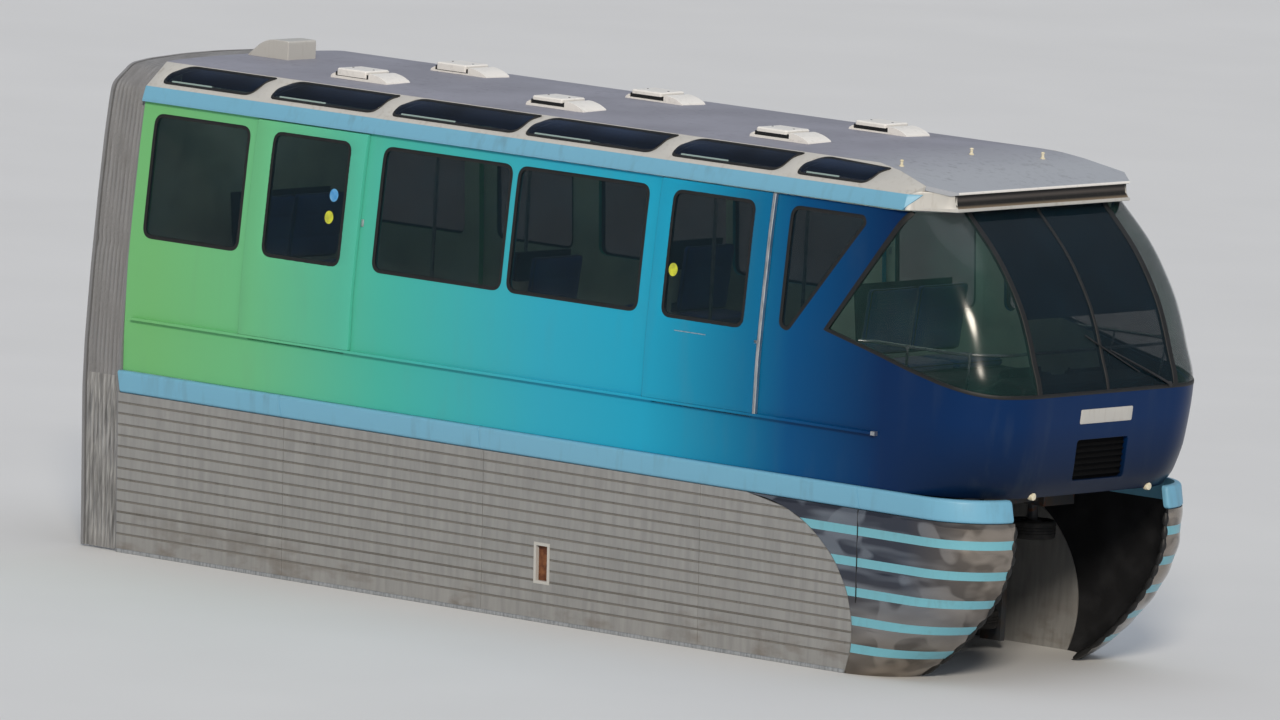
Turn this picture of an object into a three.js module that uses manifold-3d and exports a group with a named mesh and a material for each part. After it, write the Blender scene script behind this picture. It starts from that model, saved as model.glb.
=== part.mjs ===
// Straddle monorail end car, millimetres. X forward, Y left, Z up. X = 0 is the rear body face,
// Y = 0 the beam's centre plane and Z = 0 the beam's running surface, under the load tyres.

import * as THREE from "three";
import { mergeVertices } from "three/addons/utils/BufferGeometryUtils.js";
import Module from "manifold-3d";

const wasm = await Module();
wasm.setup();

// Driving dimensions

const WALL = 60;            // side wall and cowl thickness
const FIT = 0.3;            // gap between faces that touch
const RUN = 6;              // running clearance between a door leaf and the wall

const SKIRT_BOTTOM = -1300;
const BAND_BOTTOM = 80;
const BAND_TOP = 270;
const UNDERFRAME = 600;
const FLOOR = 700;
const TRACK_TOP = 735;
const SILL = 1430;
const LINTEL = 2478;
const PANEL_TOP = 2560;
const CANTRAIL_TOP = 2690;
const ROOF_CROWN = 2930;

const BODY_SPLIT = 8300;    // where the side wall meets the nose cowl
const CANOPY_BACK = 8230;
const CANOPY_TIP = 8775;
const FRONT_END = 10000;    // past the nose, for cuts
const HALF_OUT = 2000;      // past the sides, for cuts

const BEAM_HALF = 457;

// Outer form of the body: height, half width, front face and corner radius
const BODY_LEVELS = [
  { z: BAND_TOP, y: 1500, x: 9420, r: 800 },
  { z: 420, y: 1505, x: 9505, r: 760 },
  { z: 640, y: 1512, x: 9530, r: 660 },
  { z: 1120, y: 1508, x: 9570, r: 600 },
  { z: 1430, y: 1492, x: 9480, r: 575 },
  { z: 1750, y: 1468, x: 9360, r: 540 },
  { z: 2050, y: 1443, x: 9180, r: 500 },
  { z: 2250, y: 1426, x: 9020, r: 470 },
  { z: PANEL_TOP, y: 1390, x: 8700, r: 440 },
];

// Lower edge band
const BAND_LEVELS = [
  { z: BAND_BOTTOM, y: 1541, x: 9480, r: 541 },
  { z: BAND_TOP, y: 1551, x: 9440, r: 551 },
];

// Nose skirt, closing in towards the beam's sides and running back at its foot
const SKIRT_LEVELS = [
  { z: SKIRT_BOTTOM, y: 1470, x: 8560, r: 470 },
  { z: -1120, y: 1482, x: 8830, r: 482 },
  { z: -920, y: 1494, x: 9050, r: 494 },
  { z: -680, y: 1506, x: 9260, r: 506 },
  { z: -420, y: 1518, x: 9405, r: 518 },
  { z: -200, y: 1528, x: 9470, r: 528 },
  { z: BAND_BOTTOM, y: 1541, x: 9480, r: 541 },
];
const SKIRT_WALL = 30;
const SKIRT_INNER_EDGE = 1000;
const SKIRT_ARC = { x: 7000, z: -950, rx: 1200, rz: 1030 };
const SKIRT_PLAIN = 150;    // plain strip at the skirt's foot
const SKIRT_FRONT = 8300;
const SKIRT_SLOT = { x0: 4750, x1: 4880, z0: -950, z1: -645 };
const GROOVES = 13;
const GROOVE = { depth: 8, high: 22 };

// Roof: half section from the cantrail to the crown
const ROOF_HALF = [[1385, CANTRAIL_TOP + FIT], [1140, 2865], [900, 2898], [450, 2922], [0, ROOF_CROWN]];
const ROOF_WALL = 50;
const CANTRAIL = { foot: 1430, head: 1385, inner: 1330 };

// Doors
const DOOR_REAR = { x0: 1328, x1: 2582 };
const DOOR_FRONT = { x0: 5845, x1: 7090 };
const DOORWAY_LAP = 70;
const DOOR_OUT = 40;
const TRACK = { x0: 100, high: 22 };

// Windows: rear edge and front edge
const WINDOW_RADIUS = 70;
const REAR_WINDOW = { x0: 149, x1: 1231 };
const MIDDLE_WINDOW = { x0: 2757, x1: 5698 };
const MIDDLE_POST = 4224;
const POST_HALF = 37;
const DOOR_WINDOWS = { rear: { x0: 1541, x1: 2412 }, front: { x0: 6004, x1: 6887 } };
const WEDGE = [[7250, 1490], [7340, 1455], [8050, 2420], [8020, LINTEL], [7250, LINTEL]];
const GLASS_IN = 4;
const GLASS = 10;

// Windscreen opening seen from the side, and its bars
const SCREEN_OPENING = [
  [7735, 1510], [8260, 1385], [8670, 1280], [9090, 1190], [9420, 1130], [FRONT_END, 1120],
  [FRONT_END, PANEL_TOP + 40], [8498, PANEL_TOP + 40],
];
const SCREEN_CORNER = 885;
const SCREEN_BAR = 50;
const SCREEN_HEAD = 45;
const NOSE_RECESS = { half: 330, z0: 400, z1: 740, deep: 45 };

// Skylights: rear edge and front edge along the roof's shoulder
const SKYLIGHTS = [[190, 1340], [1440, 2720], [2810, 4240], [4340, 5800], [5900, 7190], [7290, 8080]];
const SKYLIGHT = { low: 38, high: 34, lean: 90, rearCorner: 120, frontFoot: 70, frontTip: 15 };
const VENTS = { x: [1560, 3760, 6230], y: 640, long: 640, wide: 300, high: 95, foot: 2905, slope: 110 };
const ROOF_BOX = { x0: 40, x1: 680, y: 330, top: 3075 };

// Running gear
const BOGIES = { rear: 950, front: 7750 };
const TYRE = { radius: 500, wide: 330, gap: 50 };
const GUIDE = { radius: 200, wide: 150, x: 560, z: -200 };
const STABILISER = { radius: 200, wide: 150, z: -1020 };
const WHEEL_Y = BEAM_HALF + GUIDE.radius;
const WELL = { x: 640, y: 660, top: 1090, wall: 25 };
const BULKHEAD = { x0: 5, x1: 45, window: 600, recess: 20 };
const POLE = { radius: 18, top: 2765 };

// Solids

const finish = (color, roughness, metalness = 0) =>
  new THREE.MeshStandardMaterial({ color, roughness, metalness });
const FINISH = {
  blue: finish(0x1f78b0, 0.3), teal: finish(0x4fb8a0, 0.3), navy: finish(0x17366b, 0.25),
  sky: finish(0x72aac8, 0.35), roof: finish(0x8e8f9c, 0.5), skirt: finish(0x85837e, 0.55),
  stripe: finish(0x4a4e5c, 0.2), bellows: finish(0x8e8687, 0.8), dark: finish(0x232428, 0.6),
  glass: finish(0x2c4a4a, 0.08), seat: finish(0x1d2c58, 0.7), grey: finish(0x6f7672, 0.6),
  steel: finish(0xb8bcc0, 0.3, 0.9), rubber: finish(0x1b1b1c, 0.85), frame: finish(0x3c4046, 0.5, 0.4),
};

function solid(geometry) {
  geometry.deleteAttribute("normal");
  geometry.deleteAttribute("uv");
  const merged = mergeVertices(geometry, 1e-4);
  return new wasm.Manifold(new wasm.Mesh({
    numProp: 3,
    vertProperties: new Float32Array(merged.attributes.position.array),
    triVerts: new Uint32Array(merged.index.array),
  }));
}

function geometryOf(body) {
  const { vertProperties, triVerts } = body.getMesh();
  const geometry = new THREE.BufferGeometry();
  geometry.setAttribute("position", new THREE.BufferAttribute(vertProperties, 3));
  geometry.setIndex(new THREE.BufferAttribute(triVerts, 1));
  geometry.computeVertexNormals();
  return geometry;
}

const join = (bodies) => bodies.reduce((sum, body) => sum.add(body));
const cut = (body, cutters) => cutters.reduce((rest, cutter) => rest.subtract(cutter), body);

function box(x0, x1, y0, y1, z0, z1) {
  const geometry = new THREE.BoxGeometry(x1 - x0, y1 - y0, z1 - z0);
  return solid(geometry.translate((x0 + x1) / 2, (y0 + y1) / 2, (z0 + z1) / 2));
}

function prism(outline, depth, basis, origin) {
  const shape = new THREE.Shape(outline.map(([u, v]) => new THREE.Vector2(u, v)));
  const geometry = new THREE.ExtrudeGeometry(shape, { depth, bevelEnabled: false });
  const axes = basis.map((axis) => new THREE.Vector3(...axis));
  geometry.applyMatrix4(new THREE.Matrix4().makeBasis(...axes).setPosition(...origin));
  return solid(geometry);
}

// Prisms of a (y, z), an (x, z) and an (x, y) outline
const alongX = (outline, x0, x1) =>
  prism(outline, x1 - x0, [[0, 1, 0], [0, 0, 1], [1, 0, 0]], [x0, 0, 0]);
const alongY = (outline, y0, y1) =>
  prism(outline, y1 - y0, [[1, 0, 0], [0, 0, 1], [0, -1, 0]], [0, y1, 0]);
const alongZ = (outline, z0, z1) =>
  prism(outline, z1 - z0, [[1, 0, 0], [0, 1, 0], [0, 0, 1]], [0, 0, z0]);

// Outline with each corner rounded by a short arc, of its own radius where the corner gives one
function rounded(outline, radius, steps = 3) {
  const points = [];
  const corner = (i) => new THREE.Vector2(...outline[(i + outline.length) % outline.length]);
  outline.forEach(([, , own = radius], i) => {
    const here = corner(i);
    const before = corner(i - 1).sub(here);
    const after = corner(i + 1).sub(here);
    const reach = Math.min(own, before.length() * 0.45, after.length() * 0.45);
    const start = here.clone().add(before.setLength(reach));
    const end = here.clone().add(after.setLength(reach));
    const arc = new THREE.QuadraticBezierCurve(start, here, end);
    arc.getPoints(steps).forEach((point) => points.push([point.x, point.y]));
  });
  return points;
}

const rectangle = (x0, x1, z0, z1) => [[x0, z0], [x1, z0], [x1, z1], [x0, z1]];
const windowOutline = ({ x0, x1 }, inset = 0) =>
  rounded(rectangle(x0 + inset, x1 - inset, SILL + inset, LINTEL - inset), WINDOW_RADIUS);

// Plan ring of the body at one level, moved inward by inset
const CORNER_STEPS = 6;
function planRing({ z, y, x, r }, inset, rear) {
  const half = y - inset;
  const radius = r - inset;
  const ring = [[rear, -half]];
  for (const side of [-1, 1]) {
    for (let i = 0; i <= CORNER_STEPS; i++) {
      const angle = THREE.MathUtils.degToRad((side < 0 ? -90 : 0) + (90 * i) / CORNER_STEPS);
      const centre = [x - inset - radius, side * (half - radius)];
      ring.push([centre[0] + radius * Math.cos(angle), centre[1] + radius * Math.sin(angle)]);
    }
  }
  ring.push([rear, half]);
  return ring.map(([px, py]) => [px, py, z]);
}

// Closed body through rings of equally many points, each ring convex
function loft(rings) {
  const count = rings[0].length;
  const positions = rings.flat(2);
  const index = [];
  for (let k = 0; k + 1 < rings.length; k++) {
    for (let i = 0; i < count; i++) {
      const a = k * count + i;
      const b = k * count + ((i + 1) % count);
      index.push(a, b, b + count, a, b + count, a + count);
    }
  }
  const top = (rings.length - 1) * count;
  for (let i = 1; i + 1 < count; i++) {
    index.push(0, i + 1, i, top, top + i, top + i + 1);
  }
  const geometry = new THREE.BufferGeometry();
  geometry.setAttribute("position", new THREE.Float32BufferAttribute(positions, 3));
  geometry.setIndex(index);
  return solid(geometry);
}

const form = (levels, inset, rear = 0) => loft(levels.map((level) => planRing(level, inset, rear)));

// Shell of a form between two depths below its surface
const shell = (levels, outer, inner, rear = 0) =>
  form(levels, outer, rear).subtract(form(levels.map((level, i) => ({
    ...level,
    z: level.z + (i === 0 ? -1 : i === levels.length - 1 ? 1 : 0),
  })), inner, rear - 10));

const sideBox = (side, x0, x1, z0, z1, inner = 0) =>
  side < 0 ? box(x0, x1, -HALF_OUT, -inner, z0, z1) : box(x0, x1, inner, HALF_OUT, z0, z1);
const sidePrism = (side, outline) =>
  side < 0 ? alongY(outline, -HALF_OUT, 0) : alongY(outline, 0, HALF_OUT);

// Half outline given from one side over the crown, doubled and given a thickness inward
function hoop(half, thickness) {
  const normal = (a, b) => {
    const length = Math.hypot(b[0] - a[0], b[1] - a[1]);
    return [-(b[1] - a[1]) / length, (b[0] - a[0]) / length];
  };
  const outer = [...half, ...half.slice(0, -1).reverse().map(([y, z]) => [-y, z])];
  const inner = outer.map(([y, z], i) => {
    const before = normal(outer[Math.max(i - 1, 0)], outer[Math.max(i, 1)]);
    const next = Math.min(i + 1, outer.length - 1);
    const after = normal(outer[next - 1], outer[next]);
    const scale = thickness / (1 + before[0] * after[0] + before[1] * after[1]);
    return [y + (before[0] + after[0]) * scale, z + (before[1] + after[1]) * scale];
  });
  inner[0][1] = outer[0][1];
  inner[inner.length - 1][1] = outer[0][1];
  return [...outer, ...inner.reverse()];
}

const car = new THREE.Group();
function add(name, body, material) {
  const mesh = new THREE.Mesh(geometryOf(body), material);
  mesh.name = name;
  car.add(mesh);
}

const SIDES = [["right", -1], ["left", 1]];

// Body shell

const bodyShell = shell(BODY_LEVELS, 0, WALL);
const behindGlass = shell(BODY_LEVELS, GLASS_IN + GLASS + FIT, WALL);
const glassShell = shell(BODY_LEVELS, GLASS_IN, GLASS_IN + GLASS);
const screenCut = alongY(SCREEN_OPENING, -HALF_OUT, HALF_OUT);

const doorway = (side, { x0, x1 }) =>
  sideBox(side, x0 + DOORWAY_LAP, x1 - DOORWAY_LAP, FLOOR, LINTEL + 20);

function sideWall(side) {
  const panels = bodyShell.intersect(join([
    sideBox(side, 0, BODY_SPLIT, BAND_TOP, PANEL_TOP),
    sideBox(side, BODY_SPLIT, 9000, SILL, PANEL_TOP),
  ]));
  const openings = [
    doorway(side, DOOR_REAR), doorway(side, DOOR_FRONT), screenCut,
    sidePrism(side, rounded(WEDGE, WINDOW_RADIUS)),
    sidePrism(side, windowOutline(REAR_WINDOW)), sidePrism(side, windowOutline(MIDDLE_WINDOW)),
  ];
  const post = behindGlass.intersect(
    sideBox(side, MIDDLE_POST - POST_HALF, MIDDLE_POST + POST_HALF, SILL - 20, LINTEL + 20));
  const rail = shell(BODY_LEVELS, -DOOR_OUT, WALL - 10)
    .intersect(sideBox(side, TRACK.x0, BODY_SPLIT, TRACK_TOP - TRACK.high, TRACK_TOP));
  return join([cut(panels, openings), post, rail]);
}

for (const [name, side] of SIDES) {
  add(`side_wall_${name}`, sideWall(side), side < 0 ? FINISH.teal : FINISH.blue);
}

const noseRecess = shell(BODY_LEVELS, -WALL, NOSE_RECESS.deep).intersect(
  box(9300, FRONT_END, -NOSE_RECESS.half, NOSE_RECESS.half, NOSE_RECESS.z0, NOSE_RECESS.z1));
const cowl = cut(
  bodyShell.intersect(box(BODY_SPLIT + FIT, FRONT_END, -HALF_OUT, HALF_OUT, BAND_TOP, SILL + 40)),
  [screenCut, noseRecess],
);
add("nose_cowl", cowl, FINISH.navy);

// Frame round the windscreen, with its bars
const screenInset = alongY(SCREEN_OPENING.map(([x, z]) => [
  x < FRONT_END ? x + FIT : x, z < PANEL_TOP ? z + FIT : PANEL_TOP - FIT]), -HALF_OUT, HALF_OUT);
const screenZone = glassShell.intersect(screenInset);
const screenBar = (y) =>
  box(8500, FRONT_END, y - SCREEN_BAR / 2, y + SCREEN_BAR / 2, 1000, PANEL_TOP + 40);
const headStrip = box(8500, FRONT_END, -1000, 1000, PANEL_TOP - SCREEN_HEAD, PANEL_TOP + 40);
const centreBar = behindGlass.intersect(screenBar(0));
const frameSolid = shell(BODY_LEVELS, 0, WALL - 20)
  .intersect(join([screenBar(-SCREEN_CORNER), screenBar(SCREEN_CORNER), headStrip]));
add("windscreen_frame", frameSolid.add(centreBar).intersect(screenInset), FINISH.rubber);

const barEdge = SCREEN_BAR / 2 + FIT;
const frameCut = shell(BODY_LEVELS, -5, WALL).intersect(
  box(8600, FRONT_END, -1000 - FIT, 1000 + FIT, PANEL_TOP - SCREEN_HEAD - FIT, 2600));
const panes = screenZone.subtract(frameCut);
for (const [name, side] of SIDES) {
  const beside = sideBox(side, 7000, FRONT_END, 0, 2600, SCREEN_CORNER + barEdge);
  add(`windscreen_side_${name}`, panes.intersect(beside), FINISH.glass);
}
const frontHalf = SCREEN_CORNER - barEdge;
add("windscreen_front", panes.intersect(box(7000, FRONT_END, -frontHalf, frontHalf, 0, 2600)), FINISH.glass);

// Side glass
const pane = (side, outline) => glassShell.intersect(sidePrism(side, outline));
for (const [name, side] of SIDES) {
  add(`rear_window_${name}`, pane(side, windowOutline(REAR_WINDOW, FIT)), FINISH.glass);
  add(`middle_window_${name}`, pane(side, windowOutline(MIDDLE_WINDOW, FIT)), FINISH.glass);
  const insideWedge = sideBox(side, WEDGE[0][0] + FIT, 9000, 0, LINTEL - FIT);
  const wedgePane = pane(side, rounded(WEDGE, WINDOW_RADIUS)).intersect(insideWedge);
  add(`wedge_window_${name}`, wedgePane, FINISH.glass);
}

// Door leaves and their glass
const leafShell = shell(BODY_LEVELS, -DOOR_OUT, -RUN);
const leafGlass = shell(BODY_LEVELS, -DOOR_OUT + 3, -DOOR_OUT + 13);
for (const [end, span] of [["rear", DOOR_REAR], ["front", DOOR_FRONT]]) {
  for (const [name, side] of SIDES) {
    const leaf = leafShell.intersect(sideBox(side, span.x0, span.x1, TRACK_TOP + FIT, PANEL_TOP - 5));
    const opening = sidePrism(side, windowOutline(DOOR_WINDOWS[end]));
    add(`door_${end}_${name}`, leaf.subtract(opening), end === "rear" ? FINISH.teal : FINISH.blue);
    add(`door_glass_${end}_${name}`,
      leafGlass.intersect(sidePrism(side, windowOutline(DOOR_WINDOWS[end], FIT))), FINISH.glass);
  }
}

// Cantrails over the doors
for (const [name, side] of SIDES) {
  const { foot, head, inner } = CANTRAIL;
  const section = [
    [inner, PANEL_TOP + FIT], [foot, PANEL_TOP + FIT], [head, CANTRAIL_TOP], [inner, CANTRAIL_TOP],
  ];
  const outline = side < 0 ? section.map(([y, z]) => [-y, z]).reverse() : section;
  add(`cantrail_${name}`, alongX(outline, 0, CANOPY_BACK - FIT), FINISH.sky);
}

// Roof with its vents and rear box, and the canopy over the windscreen
const mirrored = (half) => [...half, ...half.slice(0, -1).reverse().map(([y, z]) => [-y, z])];
const roofSide = (drop) => alongY([
  [-20, 2000], [FRONT_END, 2000], [FRONT_END, 2500], [CANOPY_TIP, 2715 - drop], [8300, 2825 - drop],
  [7500, 2950 - drop], [-20, 2950 - drop],
], -HALF_OUT, HALF_OUT);
const roofInner = hoop(ROOF_HALF, ROOF_WALL).slice(mirrored(ROOF_HALF).length);
const hollowOutline = [...roofInner, [roofInner.at(-1)[0], 2600], [roofInner[0][0], 2600]];
const roofHollow = alongX(hollowOutline, -10, CANOPY_BACK + 10).intersect(roofSide(ROOF_WALL));

const SHOULDER = { foot: ROOF_HALF[0], head: ROOF_HALF[1] };
const SHOULDER_RUN = Math.hypot(SHOULDER.head[0] - SHOULDER.foot[0], SHOULDER.head[1] - SHOULDER.foot[1]);
// Prism square to the roof's shoulder, of an outline in x and the height up the slope
function onShoulder(side, outline, low, high) {
  const rise = (SHOULDER.head[1] - SHOULDER.foot[1]) / SHOULDER_RUN;
  const lean = (SHOULDER.head[0] - SHOULDER.foot[0]) / SHOULDER_RUN;
  const up = [0, side * lean, rise];
  const out = [0, side * rise, -lean];
  const start = [0, side * SHOULDER.foot[0] + out[1] * low, SHOULDER.foot[1] + out[2] * low];
  const down = up.map((part) => -part);
  return side < 0
    ? prism(outline, high - low, [[1, 0, 0], up, out], start)
    : prism(outline.map(([u, v]) => [u, -v]).reverse(), high - low, [[1, 0, 0], down, out], start);
}
function skylightOutline([x0, x1]) {
  const { low, high, lean, rearCorner, frontFoot, frontTip } = SKYLIGHT;
  const head = SHOULDER_RUN - high;
  return rounded([
    [x0, low, rearCorner], [x1 - lean, low, frontFoot], [x1, head, frontTip], [x0, head, rearCorner]]);
}
const skylights = SIDES.flatMap(([, side]) =>
  SKYLIGHTS.map((span) => onShoulder(side, skylightOutline(span), -80, 80)));

const VENT_OUTLINE = [
  [0, -60], [VENTS.long, -60], [VENTS.long, 20], [VENTS.long - VENTS.slope, VENTS.high],
  [VENTS.slope, VENTS.high], [0, 20],
];
const vents = VENTS.x.flatMap((x0) => [-1, 1].map((side) => alongY(
  VENT_OUTLINE.map(([x, z]) => [x0 + x, VENTS.foot + z]),
  side * VENTS.y - VENTS.wide / 2, side * VENTS.y + VENTS.wide / 2)));
const roofBox = alongX(rounded([
  [-ROOF_BOX.y, 2890], [ROOF_BOX.y, 2890], [ROOF_BOX.y - 60, ROOF_BOX.top], [-ROOF_BOX.y + 60, ROOF_BOX.top],
], 60), ROOF_BOX.x0, ROOF_BOX.x1);
const roofSolid = alongX(mirrored(ROOF_HALF), 0, CANOPY_BACK - FIT).intersect(roofSide(0));
const roof = cut(join([roofSolid, ...vents, roofBox]), [roofHollow, ...skylights]);
add("roof", roof, FINISH.roof);

const skylightStrip = [
  [150, 40], [8130, 40], [8130, SHOULDER_RUN - 40], [150, SHOULDER_RUN - 40],
];
for (const [name, side] of SIDES) {
  add(`skylight_glass_${name}`,
    onShoulder(side, skylightStrip, -ROOF_WALL - FIT - GLASS, -ROOF_WALL - FIT), FINISH.glass);
}

const CANOPY_HALF = [[CANTRAIL.foot, PANEL_TOP + FIT], [CANTRAIL.head, CANTRAIL_TOP], ...ROOF_HALF.slice(1)];
const canopyPlan = [
  [CANOPY_BACK, -1450], [8420, -1450], [8440, -1400], [CANOPY_TIP, -1110],
  [CANOPY_TIP, 1110], [8440, 1400], [8420, 1450], [CANOPY_BACK, 1450],
];
add("canopy", alongX(mirrored(CANOPY_HALF), CANOPY_BACK, CANOPY_TIP)
  .intersect(alongZ(canopyPlan, 2000, 3200)).intersect(roofSide(0)), FINISH.roof);

// Lower band, skirts and nose skirts
const bandShell = shell(BAND_LEVELS, 0, WALL, 0);
const bandZone = (side) => join([
  sideBox(side, 0, 8700, BAND_BOTTOM, BAND_TOP - FIT, 1200),
  sideBox(side, 8700, FRONT_END, BAND_BOTTOM, BAND_TOP - FIT, SKIRT_INNER_EDGE),
]);
const arcOutline = (grow) => {
  const points = [];
  const { x, z, rx, rz } = SKIRT_ARC;
  for (let i = 0; i <= 14; i++) {
    const angle = THREE.MathUtils.degToRad(90 - i * (90 + 24) / 14);
    points.push([x + (rx + grow) * Math.cos(angle), z + (rz + grow) * Math.sin(angle)]);
  }
  const below = SKIRT_BOTTOM - 200;
  return [[-100, below], [-100, z + rz + grow], ...points, [points.at(-1)[0], below]];
};
function skirtSection(side) {
  const top = BAND_BOTTOM - FIT;
  const foot = SKIRT_LEVELS[0];
  const head = SKIRT_LEVELS.at(-1);
  const out = (z) => foot.y + (head.y - foot.y) * (z - foot.z) / (head.z - foot.z);
  const outer = [[out(top), top]];
  const pitch = (top - SKIRT_BOTTOM - SKIRT_PLAIN) / GROOVES;
  for (let i = 1; i <= GROOVES; i++) {
    const z = top - i * pitch;
    outer.push(
      [out(z + GROOVE.high), z + GROOVE.high], [out(z) - GROOVE.depth, z + GROOVE.high * 0.6], [out(z), z]);
  }
  const inner = [[foot.y - SKIRT_WALL, foot.z], [out(top) - SKIRT_WALL, top]];
  const section = [...outer, [foot.y, foot.z], ...inner];
  return section.map(([y, z]) => [side * y, z]);
}
const skirtShell = shell(SKIRT_LEVELS, 0, SKIRT_WALL);
for (const [name, side] of SIDES) {
  add(`lower_band_${name}`, bandShell.intersect(bandZone(side)), FINISH.sky);
  const arcSide = (grow) => sidePrism(side, arcOutline(grow));
  const slot = sideBox(side, SKIRT_SLOT.x0, SKIRT_SLOT.x1, SKIRT_SLOT.z0, SKIRT_SLOT.z1);
  const sideSkirt = alongX(skirtSection(side), 0, SKIRT_FRONT).intersect(arcSide(0)).subtract(slot);
  add(`side_skirt_${name}`, sideSkirt, FINISH.skirt);
  const noseZone = sideBox(side, 7000, FRONT_END, SKIRT_BOTTOM, BAND_BOTTOM - FIT, SKIRT_INNER_EDGE);
  add(`nose_skirt_${name}`, skirtShell.intersect(noseZone).subtract(arcSide(FIT)), FINISH.stripe);
}

// Floor with its wheel wells
const wellBlocks = (grow, foot) => Object.values(BOGIES).map((x) =>
  box(x - WELL.x - grow, x + WELL.x + grow, -WELL.y - grow, WELL.y + grow, foot, WELL.top + grow));
const floorPlate = form(BODY_LEVELS, WALL + FIT, BULKHEAD.x1 + 5)
  .intersect(box(0, FRONT_END, -HALF_OUT, HALF_OUT, UNDERFRAME, FLOOR));
const floorWithWells = join([floorPlate, ...wellBlocks(WELL.wall, UNDERFRAME)]);
add("floor", cut(floorWithWells, wellBlocks(0, UNDERFRAME - 10)), FINISH.grey);

// Rear bulkhead, bellows and coupler
const rearWindow = rounded(rectangle(-BULKHEAD.window, BULKHEAD.window, SILL, LINTEL), WINDOW_RADIUS);
const bulkhead = form(BODY_LEVELS, WALL + FIT, BULKHEAD.x0)
  .intersect(box(BULKHEAD.x0, BULKHEAD.x1, -HALF_OUT, HALF_OUT, UNDERFRAME, PANEL_TOP))
  .subtract(alongX(rearWindow, -10, BULKHEAD.x0 + BULKHEAD.recess));
add("rear_bulkhead", bulkhead, FINISH.grey);

const BELLOWS_HALF = [
  [1450, -1285], [1530, 80], [1530, 500], [1500, 1120], [1455, 1750], [1410, 2250], [1370, PANEL_TOP],
  [1345, CANTRAIL_TOP], [1120, 2850], [900, 2880], [450, 2905], [0, 2912],
];
const BELLOWS = { depth: 430, thick: 70 };
add("bellows", alongX(hoop(BELLOWS_HALF, BELLOWS.thick), -BELLOWS.depth, -FIT), FINISH.bellows);
add("rear_coupler", join([
  box(-BELLOWS.depth, 200, -60, 60, 420, 520), box(-BELLOWS.depth, -380, -130, 130, 370, 570),
  box(20, 200, -150, 150, 420, UNDERFRAME - FIT)]), FINISH.frame);

// Equipment boxes hung under the floor, outside the beam, on a cross member
const equipment = SIDES.flatMap(([, side]) => {
  const [y0, y1] = side < 0 ? [-1380, -640] : [640, 1380];
  return [box(2500, 4300, y0, y1, -700, UNDERFRAME - FIT), box(4200, 6100, y0, y1, -350, UNDERFRAME - FIT)];
});
add("equipment_boxes", join([...equipment, box(4150, 4350, -700, 700, 480, UNDERFRAME - FIT)]), FINISH.dark);

// Inside: seats, desk and handrails
const bench = (x, facing) => [
  [0, FLOOR + FIT], [380, FLOOR + FIT], [420, 1090], [480, 1150], [100, 1150], [30, 1750],
  [-60, 1750], [0, 1150],
].map(([dx, z]) => [x + facing * dx, z]);
const seatSolid = (outline, facing, y0, y1) => alongY(facing < 0 ? outline.reverse() : outline, y0, y1);
const WELL_SEAT = { foot: WELL.top + WELL.wall + FIT, half: 640 };
const wellSeat = (x) => [
  [-120, WELL_SEAT.foot], [480, WELL_SEAT.foot], [480, 1190], [0, 1200], [-70, 1800], [-160, 1800],
].map(([dx, z]) => [x + dx, z]);
for (const [name, x] of [["rear", 520], ["front", 7480]]) {
  add(`seat_${name}`, alongY(wellSeat(x), -WELL_SEAT.half, WELL_SEAT.half), FINISH.seat);
}
const SEATS = [["right", -1330, -640], ["left", 640, 1330]];
for (const [name, y0, y1] of SEATS) {
  add(`seat_middle_${name}`, join([
    seatSolid(bench(4160, -1), -1, y0, y1), seatSolid(bench(4260, 1), 1, y0, y1),
    box(4150, 4270, y0, y1, FLOOR + FIT, 1500)]), FINISH.seat);
}
const desk = [
  [8750, FLOOR + FIT], [9250, FLOOR + FIT], [9380, 1180], [9100, 1230], [8900, 1100], [8800, 1100],
];
add("driver_desk", alongY(desk, -850, 850), FINISH.dark);

const pole = (x, y) => {
  const foot = FLOOR + FIT;
  const geometry = new THREE.CylinderGeometry(POLE.radius, POLE.radius, POLE.top - foot, 10);
  return solid(geometry.rotateX(Math.PI / 2).translate(x, y, (POLE.top + foot) / 2));
};
const RAIL_Y = 600;
const rails = [-1, 1].map((side) => box(2600, 5800, side * RAIL_Y - 15, side * RAIL_Y + 15, 2600, 2630));
const ties = [2650, 5750].map((x) => box(x - 15, x + 15, -RAIL_Y, RAIL_Y, 2600, 2630));
const poles = [2650, 5750].flatMap((x) => [-1, 1].map((side) => pole(x, side * RAIL_Y)));
add("handrails", join([...rails, ...ties, ...poles]), FINISH.steel);

// Bogies

const SIDE_WHEEL_SIDES = 16;
const LOAD_WHEEL_SIDES = 20;
const PIN_SIDES = 12;
const turned = (profile, sides) =>
  new THREE.LatheGeometry(profile.map(([r, h]) => new THREE.Vector2(r, h)), sides);
const PIN = { radius: 28, collar: 46 };
const BORE = 31;

// Guide or stabiliser wheel: a hub ring with a rounded tyre, its axis along Z
function sideWheel({ radius, wide }, z) {
  const h = wide / 2;
  const profile = [
    [BORE, -h], [75, -h], [85, -h + 30], [135, -h + 30], [150, -h], [radius - 18, -h],
    [radius, -h + 22],
    [radius, h - 22], [radius - 18, h], [75, h], [BORE, h], [BORE, -h],
  ];
  return turned(profile, SIDE_WHEEL_SIDES).rotateX(Math.PI / 2).translate(0, 0, z);
}

function pin(x, y, { wide }, z, top) {
  const profile = [
    [0, top], [PIN.collar, top], [PIN.collar, z + wide / 2 + FIT], [PIN.radius, z + wide / 2 + FIT],
    [PIN.radius, z - wide / 2 - FIT], [PIN.collar, z - wide / 2 - FIT], [PIN.collar, z - wide / 2 - 20],
    [0, z - wide / 2 - 20],
  ].reverse();
  return solid(turned(profile, PIN_SIDES).rotateX(Math.PI / 2).translate(x, y, 0));
}

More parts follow.
